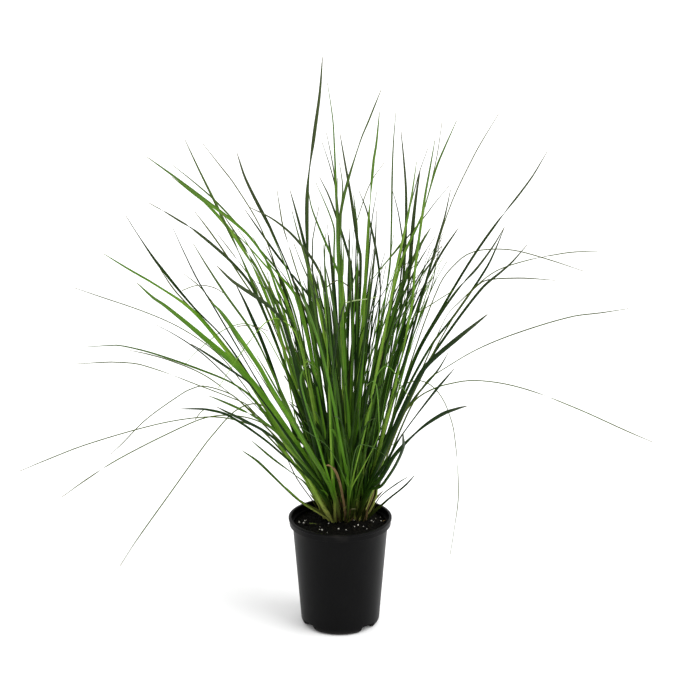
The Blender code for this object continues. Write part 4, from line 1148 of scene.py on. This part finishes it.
def leaf_finish(settings):
    """Living leaf: a pale sheath at its foot, green by its tone, fine veins, a pale midrib, lengthwise streaks
    and a dry tip. The veins, midrib and streaks are lighter partly as the leaf's own pattern and partly as
    painted sheen.
    """
    material, graph, shader = surface_graph("leaf")

    def attribute(name, output):
        return graph.wire("ShaderNodeAttribute", {"attribute_name": name}, None, output)

    tone, dryness, run = graph.parts(attribute("finish", "Vector"))
    lane, _, share = graph.parts(attribute("strip", "Vector"))
    across = attribute("across", "Fac")
    height = graph.parts(graph.object_place())[2]

    # Each leaf reads its own part of the noises, by its lane
    lengthwise = graph.vector(across * 1.6 + lane * 61.0, share * 2.5, lane * 17.0)
    streak_and_sheen = graph.noise(lengthwise, scale=3.0, detail=3.0)
    crosswise = graph.vector(lane * 43.0, share * 16.0, across * 0.4)
    mottle = graph.noise(crosswise, scale=1.0, detail=4.0, roughness=0.6)
    veins = (across * 26.0).sine() * 0.5 + 0.5
    rib_and_sheen = abs(across).rise(0.16, 0.0)

    shown_tone = tone + (mottle - 0.5) * 0.5 + (streak_and_sheen - 0.5) * 0.3 - share * 0.18
    greens = graph.wire("ShaderNodeValToRGB", {"stops": (
        (0.0, settings.dark), (0.4, settings.middle), (0.7, settings.vivid), (1.0, settings.light),
    )}, {0: shown_tone})
    # The veins, the midrib and the lengthwise streaks lighten the green partly as the leaf's own pattern and
    # partly as painted sheen along the blade.
    colour = graph.shaded(greens, 0.75 + veins * 0.14 + rib_and_sheen * 0.35 + (streak_and_sheen - 0.5) * 0.8)
    paled = height.rise(SUN_FROM, SUN_TO) * 0.5 + share.rise(0.8, 1.0) * 0.2
    colour = graph.blend(colour, SUNNED, paled * (1.0 - tone * 0.5))
    sheath = graph.blend(SHEATH_OLIVE, SHEATH_PALE, tone.rise(0.35, 0.85))
    sheath = graph.blend(sheath, SHEATH_BROWN, mottle.rise(0.56, 0.68) * 0.45)
    colour = graph.blend(colour, sheath, run.rise(SHEATH_TOP, SHEATH_FOOT) * 0.85)
    colour = graph.blend(colour, BLANCHED, tone.rise(1.0, 1.3))
    straw = graph.blend(STRAW_PALE, STRAW_BROWN, streak_and_sheen.rise(0.4, 0.7))
    dry = (dryness + share.rise(0.975, 1.0) * 0.35 + mottle.rise(0.72, 0.80) * share * 0.3).least(1.0)
    graph.plug(shader, {
        "Base Color": graph.blend(colour, straw, dry),
        "Roughness": 0.42 + streak_and_sheen * 0.12 + dryness * 0.3,
        "Normal": graph.bump(veins * 0.7 + streak_and_sheen * 0.3, distance=0.12 * MM, strength=0.6),
        "Specular IOR Level": 0.06,
    })
    return material


# Fine leaves, by rule, in the picture's dense middle. Some are young and short, and some are dead
FINE_LENGTHS = (90 * MM, 300 * MM)
FINE_HALF_WIDTHS = (0.9 * MM, 1.9 * MM)
FINE_LEANS = (0.25, 0.62)
FINE_EXTRA_LEANS = (0.0, 0.12)
FINE_DROOPS = (math.radians(4), math.radians(52))
FINE_CUPS = (0.1, 0.4)
FINE_TURN = 0.55
FINE_TWIST = 0.8
FINE_SCATTER = 1.6 * MM
FINE_TONE = 0.25
FINE_TONE_SPREAD = 0.25
FINE_STEPS = 9
FINE_TOP = 302
FINE_MIDDLE = 336
FINE_SPREAD = 0.13
FINE_TRIES = 25
YOUNG_SHARE = 0.2
YOUNG_LENGTH = 0.4
YOUNG_TONE = 0.85
DEAD_SHARE = 0.05
DEAD_DRYNESS = 0.9

# Dry bracts at the foot of each shoot, by rule, with their lengths and half widths in mm
BRACT_COUNT = 2
BRACT_LENGTHS = (16, 46)
BRACT_HALF_WIDTHS = (1.6, 2.6)
BRACT_LEANS = (0.1, 0.4)
BRACT_DROOPS = (0.1, 0.6)
BRACT_DRYNESS = (0.55, 1.0)
BRACT_TURN = 1.3
BRACT_SCATTER = 1.2 * MM
BRACT_CUP = 0.5
BRACT_TONE = 0.3


def ruled_knots(foot, lean, heading, droop, length):
    """The knots of a leaf that leans out from its foot and bends over towards its tip, and its flat side."""
    out = Vector((math.cos(heading), math.sin(heading), 0))
    knots = [foot.copy()]
    for i in range(1, FINE_STEPS + 1):
        angle = lean + droop * (i / FINE_STEPS) ** 2
        step = out * math.sin(angle) + UP * math.cos(angle)
        knots.append(knots[-1] + step * length / FINE_STEPS)
    return knots, out.cross(UP)


def twisted_sides(knots, side, twist):
    """Sides that start along one direction and turn steadily round the leaf's course."""
    sides = []
    for i, (a, b) in enumerate(zip(knots, knots[1:] + [knots[-1] * 2 - knots[-2]])):
        turn = Matrix.Rotation(twist * (i / len(knots)) ** 1.5, 3, (b - a).normalized())
        sides.append(turn @ side)
    return sides


def facing_eye(knots, sides):
    """Sides turned part of the way to where a blade shows the eye its full width, most of all at its tip."""
    turned = []
    for i, side in enumerate(sides):
        low, high = max(i - 1, 0), min(i + 1, len(knots) - 1)
        flat = (knots[high] - knots[low]).cross(knots[i] - EYE).normalized()
        share = lerp(FACE_FOOT, FACE_TIP, i / (len(sides) - 1))
        turned.append(side.lerp(flat if flat.dot(side) > 0 else -flat, share).normalized())
    return turned


def root_point(foot, scatter, dice):
    """A point under the top of the potting mix, near a shoot's foot."""
    return foot + Vector((dice.gauss(0, scatter), dice.gauss(0, scatter), -ROOT_DEPTH))


def fine_blades(foot, count, dice):
    """Extra leaves of one shoot: fine ones, a few short young ones, and dry bracts at its foot."""
    out = Vector((foot.x, foot.y, 0)) - CROWN_CENTRE
    heading = math.atan2(out.y, out.x)
    blades = []
    for _ in range(count):
        young = dice.random() < YOUNG_SHARE
        for _ in range(FINE_TRIES):
            length = dice.uniform(*FINE_LENGTHS) * (YOUNG_LENGTH if young else 1.0)
            lean = out.length / CROWN_REACH * dice.uniform(*FINE_LEANS) + dice.uniform(*FINE_EXTRA_LEANS)
            turn = heading + dice.gauss(0, FINE_TURN)
            start = root_point(foot, FINE_SCATTER, dice)
            knots, side = ruled_knots(start, lean, turn, dice.uniform(*FINE_DROOPS), length)
            if in_core(knots, FINE_TOP, FINE_MIDDLE, FINE_SPREAD):
                break
        else:
            continue
        half = dice.uniform(*FINE_HALF_WIDTHS)
        twist = dice.uniform(-FINE_TWIST, FINE_TWIST)
        tone = YOUNG_TONE if young else clamped(dice.gauss(FINE_TONE, FINE_TONE_SPREAD))
        dryness = DEAD_DRYNESS if dice.random() < DEAD_SHARE else 0.0
        halves = [half * FOOT_SWELL] + [half] * (len(knots) - 1)
        sides = facing_eye(knots, twisted_sides(knots, side, twist))
        blades.append(Blade(knots, sides, halves, dice.uniform(*FINE_CUPS), tone, dryness))
    for _ in range(BRACT_COUNT):
        start = root_point(foot, BRACT_SCATTER, dice)
        turn = heading + dice.uniform(-BRACT_TURN, BRACT_TURN)
        lean, droop = dice.uniform(*BRACT_LEANS), dice.uniform(*BRACT_DROOPS)
        knots, side = ruled_knots(start, lean, turn, droop, dice.uniform(*BRACT_LENGTHS) * MM)
        halves = [dice.uniform(*BRACT_HALF_WIDTHS) * MM] * len(knots)
        dryness = dice.uniform(*BRACT_DRYNESS)
        blades.append(Blade(knots, [side] * len(knots), halves, BRACT_CUP, BRACT_TONE, dryness))
    return blades


def shoot_blades(node, fine_count, dice):
    """All blades of one shoot: its own leaves carried down to its foot, and its fine ones."""
    foot, leaves = read_leaves(node)
    slots = [points[0] for points, _, _ in leaves]
    middle = sum(slots, Vector()) / len(slots)
    blades = []
    for points, sides, widths in leaves:
        start = foot + (points[0] - middle).xy.to_3d() * FOOT_SHARE - UP * ROOT_DEPTH
        spans = [(b - a).length for a, b in zip(points, points[1:])]
        runs = [sum(spans[:i]) for i in range(len(points))]
        finish = finish_of(points[-1], dice)
        halves = [finish.width * width / 2 / taper(run / runs[-1]) for width, run in zip(widths, runs)]
        sides = even_sides(points, sides)
        knots = [start, start.lerp(points[0], SLOT_SHARE), *points]
        all_sides = facing_eye(knots, [sides[0], sides[0], *sides, sides[-1]])
        all_halves = [halves[0] * FOOT_SWELL, halves[0] * SLOT_SWELL, *halves, halves[-1]]
        cup = dice.uniform(*LEAF_CUPS)
        waists = waists_of(points[-1], dice)
        blades.append(Blade(
            knots, all_sides, all_halves, cup, finish.tone, finish.dryness, finish.tapered, waists=waists,
        ))
    return blades + fine_blades(foot, fine_count, dice)


# Front leaves: width in mm, tone, dryness, how far the tip stands before the foot in mm, and pixels
FRONT_LEAVES = (
    (6.0, 1.00, 0.00, 45, (
        (333, 521.5), (328, 515.5), (320, 500.5), (309.5, 480), (299, 463), (288, 447), (279, 434),
    )),
    (4.0, 0.82, 0.00, 50, (
        (332.5, 520.5), (324.5, 504), (315.5, 485.5), (308.5, 473), (300, 459), (291, 444), (284, 432),
    )),
    (3.6, 0.95, 0.00, 42, ((331, 520), (320, 503), (307, 482), (295, 465), (283, 450), (272, 436))),
    (2.2, 0.95, 0.00, 10, ((330, 520.5), (318, 513), (304, 504), (291, 492.5), (280, 482.5))),
    (7.5, 0.60, 0.00, 45, (
        (346, 521), (344.5, 498), (341.5, 483.5), (338, 465.5), (335.5, 452), (334.5, 430), (334, 408),
    )),
    (5.0, 0.50, 0.00, 48, ((348.5, 521), (348, 498), (347, 484), (342.5, 468.5), (337, 453), (331, 440))),
    (2.4, 1.10, 0.00, 24, ((344, 519), (343.8, 500), (342.8, 492), (341, 484))),
    (3.6, 0.70, 0.85, 24, ((350.5, 519), (350.5, 506.5), (352.5, 492.5), (355, 480), (357, 466))),
    (3.2, 1.00, 0.20, 30, ((354.5, 520), (357, 500), (360, 486), (363, 470), (366, 452))),
    (4.4, 1.00, 0.00, 44, (
        (359, 520), (365.5, 501.5), (371, 487), (376.5, 472), (379, 459.5), (383.5, 446), (393, 428),
    )),
    (3.2, 0.90, 0.00, 34, ((362, 519.5), (369, 500), (375, 484), (380.5, 468), (387, 450), (395, 432))),
    (3.0, 0.75, 0.70, 14, ((363.5, 518), (369, 505), (372.5, 496), (374, 486))),
    (2.6, 1.05, 0.10, 16, ((365.5, 518), (372, 507), (376, 497), (377.5, 488))),
    (1.6, 0.35, 0.10, 4, ((364.8, 517.5), (373, 510.8), (381, 505), (390, 497.5), (398, 492))),
    (1.5, 0.20, 0.10, -5, ((320, 514), (313, 501.5), (304, 489), (296, 477), (285.5, 455))),
    (2.2, 1.25, 0.55, 30, (
        (348.2, 518), (346.6, 514), (346.3, 511.6), (349.6, 509.8), (352.5, 509.2), (355.5, 509),
    )),
)

# Strands that lie loose among the leaves: width in mm, tone, dryness, depth in mm, and the picture's pixels
STRANDS = (
    (1.3, 1.20, 0.00, -75, ((345, 303), (355, 300.5), (367, 299), (378, 296.5))),
    (1.3, 0.80, 0.10, -60, ((401, 243), (391, 256), (382, 267), (372, 280))),
    (1.2, 0.65, 0.20, -60, ((454, 290), (435, 302), (418, 313), (410, 320))),
    (1.6, 0.10, 0.20, -50, ((327, 287), (331, 284), (335, 281), (340, 281), (348, 286), (351, 292))),
    (1.1, 0.55, 0.30, -40, ((204, 409.5), (200, 413), (195, 420))),
    (1.2, 0.30, 0.40, -40, ((237, 326.5), (246, 325.5), (254, 326.5), (262, 328.5), (268, 331))),
    (1.0, 0.45, 0.30, -30, ((182, 290.6), (196, 285.5), (208, 286), (216.5, 288.7), (223, 293))),
    (1.6, 0.95, 0.00, -60, ((303, 367), (306, 362), (313, 364), (318, 370))),
    (1.2, 0.85, 0.00, -62, ((305, 359), (310, 363), (315, 368), (318, 375))),
)

# Scraps that lie on the potting mix: width in mm, tone, dryness, how far they stand up in mm, and pixels
SCRAPS = (
    (2.4, 0.45, 0.30, 1.0, ((309.5, 521.5), (313, 521), (317, 521.6), (321, 523))),
    (0.9, 0.60, 1.00, 1.2, ((382.5, 519.5), (385, 518), (388, 517.4))),
)
SCRAP_LEVEL = 144 * MM


def even_blade(width, tone, dryness, points, sides, start=0.0):
    """A blade of one width, given in mm, through points that were read from the picture."""
    return Blade(points, sides, [width * MM / 2] * len(points), FLAT_CUP, tone, dryness, start=start)


def eye_sides(points):
    """Sides that turn a blade's flat side to the eye."""
    return facing_eye(points, [RIGHT] * len(points))


def front_blades():
    """The leaves at the front of the clump's foot, each rising from the potting mix."""
    blades = []
    for width, tone, dryness, forward, pixels in FRONT_LEAVES:
        foot = sight_on_level(pixels[0], CROWN_Z)
        points = [foot - UP * ROOT_DEPTH]
        for i, pixel in enumerate(pixels):
            points.append(sight_point(pixel, foot.y - forward * MM * i / (len(pixels) - 1)))
        blades.append(even_blade(width, tone, dryness, points, eye_sides(points)))
    return blades


def strand_blades(lump_height):
    """The loose strands, and the scraps that lie flat on the potting mix."""
    blades = []
    for width, tone, dryness, depth, pixels in STRANDS:
        points = [sight_point(pixel, depth * MM) for pixel in pixels]
        blades.append(even_blade(width, tone, dryness, points, eye_sides(points), LOOSE_START))
    for width, tone, dryness, lift, pixels in SCRAPS:
        points = [sight_on_level(pixel, SCRAP_LEVEL) for pixel in pixels]
        for point in points:
            point.z = mix_height(point.x, point.y, lump_height) + lift * MM
        sides = [(points[-1] - points[0]).cross(UP).normalized()] * len(points)
        blades.append(even_blade(width, tone, dryness, points, sides, LOOSE_START))
    return blades


def leaf_values(settings):
    """The leaf tree's inputs."""
    return {
        "Columns": settings.columns, "Thickness": settings.thickness, "Cup Power": 1.2, "Ripple": 0.9,
        "Ripple Scale": 7.0, "Material": leaf_finish(settings),
    }


class GRASS_OT_front_leaves(bpy.types.Operator):
    """Adds the front leaves and the loose strands that the picture shows"""

    bl_idname = "grass_clump.front_leaves"
    bl_label = "Front Leaves and Strands"

    def execute(self, context):
        settings = context.scene.grass_clump
        tree = leaf_tree()
        values = leaf_values(settings.leaf)
        strands = strand_blades(settings.mix.lump_height)
        for name, blades in (("front_leaves", front_blades()), ("loose_strands", strands)):
            mesh = grown_mesh(guide_mesh(blades), tree, values)
            check_outward(mesh, name)
            add_piece(name, mesh)
        return {"FINISHED"}


class GRASS_OT_shoots(bpy.types.Operator):
    """Builds every leafy shoot around its CAD solid"""

    bl_idname = "grass_clump.shoots"
    bl_label = "Leafy Shoots"

    def execute(self, context):
        settings = context.scene.grass_clump.leaf
        tree = leaf_tree()
        values = leaf_values(settings)
        for node in sorted(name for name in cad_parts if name.startswith("shoot_")):
            blades = shoot_blades(node, settings.fine_leaves, random.Random(node))
            mesh = grown_mesh(guide_mesh(blades), tree, values)
            check_outward(mesh, node)
            piece = add_piece(f"leaves_of_{node}", mesh)
            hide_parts(node)
        return {"FINISHED"}


# Stage: the light from all round, the key light and the floor
SKY_TOP = 0.75
SKY_SIDE = 0.75
SKY_FRONT_SHADE = 0.35
KEY_FROM = Vector((0.9, -0.4, 1.0))
KEY_SPREAD = math.radians(45)
FLOOR_REACH = 14.0


def add_floor(colour):
    """The pale floor."""
    mesh = bpy.data.meshes.new("floor")
    corners = [(x * FLOOR_REACH, y * FLOOR_REACH, 0) for x, y in ((-1, -1), (1, -1), (1, 1), (-1, 1))]
    mesh.from_pydata(corners, [], [(0, 1, 2, 3)])
    material, graph, shader = surface_graph("pale_floor")
    graph.plug(shader, {"Base Color": (*colour, 1.0), "Roughness": 0.9, "Specular IOR Level": 0.1})
    mesh.materials.append(material)
    floor = add_object("floor", mesh)


def add_lights(settings):
    """Light from all round, weaker from the front, and a broad key light."""
    world = bpy.data.worlds.new("studio")
    world.use_nodes = True
    graph = Graph(world.node_tree)
    _, y, z = graph.parts(graph.wire("ShaderNodeTexCoord"))
    sky = (z.rise(0.0, 1.0) * SKY_TOP + SKY_SIDE) * (1.0 - y.rise(-0.2, -1.0) * SKY_FRONT_SHADE)
    graph.plug(world.node_tree.nodes["Background"], {"Color": (1, 1, 1, 1), "Strength": sky * settings.sky})
    bpy.context.scene.world = world
    light = bpy.data.lights.new("key", "SUN")
    light.energy = settings.key
    light.angle = KEY_SPREAD
    add_object("key", light).rotation_euler = KEY_FROM.to_track_quat("Z", "Y").to_euler()


def add_camera():
    """The camera at the picture's viewpoint."""
    lens = bpy.data.cameras.new("camera")
    lens.sensor_width = SENSOR_MM
    lens.lens = FOCAL_PX * SENSOR_MM / PICTURE_PX
    camera = add_object("camera", lens)
    camera.location = EYE
    camera.rotation_euler = (math.pi / 2 - EYE_PITCH, 0, 0)
    bpy.context.scene.camera = camera


class GRASS_OT_stage(bpy.types.Operator):
    """Lays the pale floor, sets the soft studio light and makes the camera"""

    bl_idname = "grass_clump.stage"
    bl_label = "Floor, Light and Camera"

    def execute(self, context):
        settings = context.scene.grass_clump.stage
        add_floor(settings.floor_colour)
        add_lights(settings)
        add_camera()
        context.scene.view_settings.view_transform = "Standard"
        return {"FINISHED"}


class GRASS_PT_sidebar(bpy.types.Panel):
    """Lists the clump's pieces"""

    bl_idname = "GRASS_PT_sidebar"
    bl_label = "Grass Clump"
    bl_space_type = "VIEW_3D"
    bl_region_type = "UI"
    bl_category = "Grass Clump"

    def draw(self, context):
        settings = context.scene.grass_clump
        for operator, group in OPERATORS:
            box = self.layout.box()
            box.operator(operator.bl_idname)
            for name in getattr(settings, group).bl_rna.properties.keys():
                if name not in ("rna_type", "name"):
                    box.prop(getattr(settings, group), name)


OPERATORS = (
    (GRASS_OT_pot, "pot"),
    (GRASS_OT_potting_mix, "mix"),
    (GRASS_OT_litter, "mix"),
    (GRASS_OT_shoots, "leaf"),
    (GRASS_OT_front_leaves, "leaf"),
    (GRASS_OT_stage, "stage"),
)
SETTINGS = (PotSettings, MixSettings, LeafSettings, StageSettings, ClumpSettings)


def register():
    for group in SETTINGS:
        bpy.utils.register_class(group)
    for operator, _ in OPERATORS:
        bpy.utils.register_class(operator)
    bpy.utils.register_class(GRASS_PT_sidebar)
    bpy.types.Scene.grass_clump = PointerProperty(type=ClumpSettings)


def unregister():
    del bpy.types.Scene.grass_clump
    bpy.utils.unregister_class(GRASS_PT_sidebar)
    for operator, _ in reversed(OPERATORS):
        bpy.utils.unregister_class(operator)
    for group in reversed(SETTINGS):
        bpy.utils.unregister_class(group)


def main():
    register()
    bpy.ops.grass_clump.pot()
    bpy.ops.grass_clump.potting_mix()
    bpy.ops.grass_clump.litter()
    bpy.ops.grass_clump.shoots()
    bpy.ops.grass_clump.front_leaves()
    bpy.ops.grass_clump.stage()


if __name__ == "__main__":
    main()
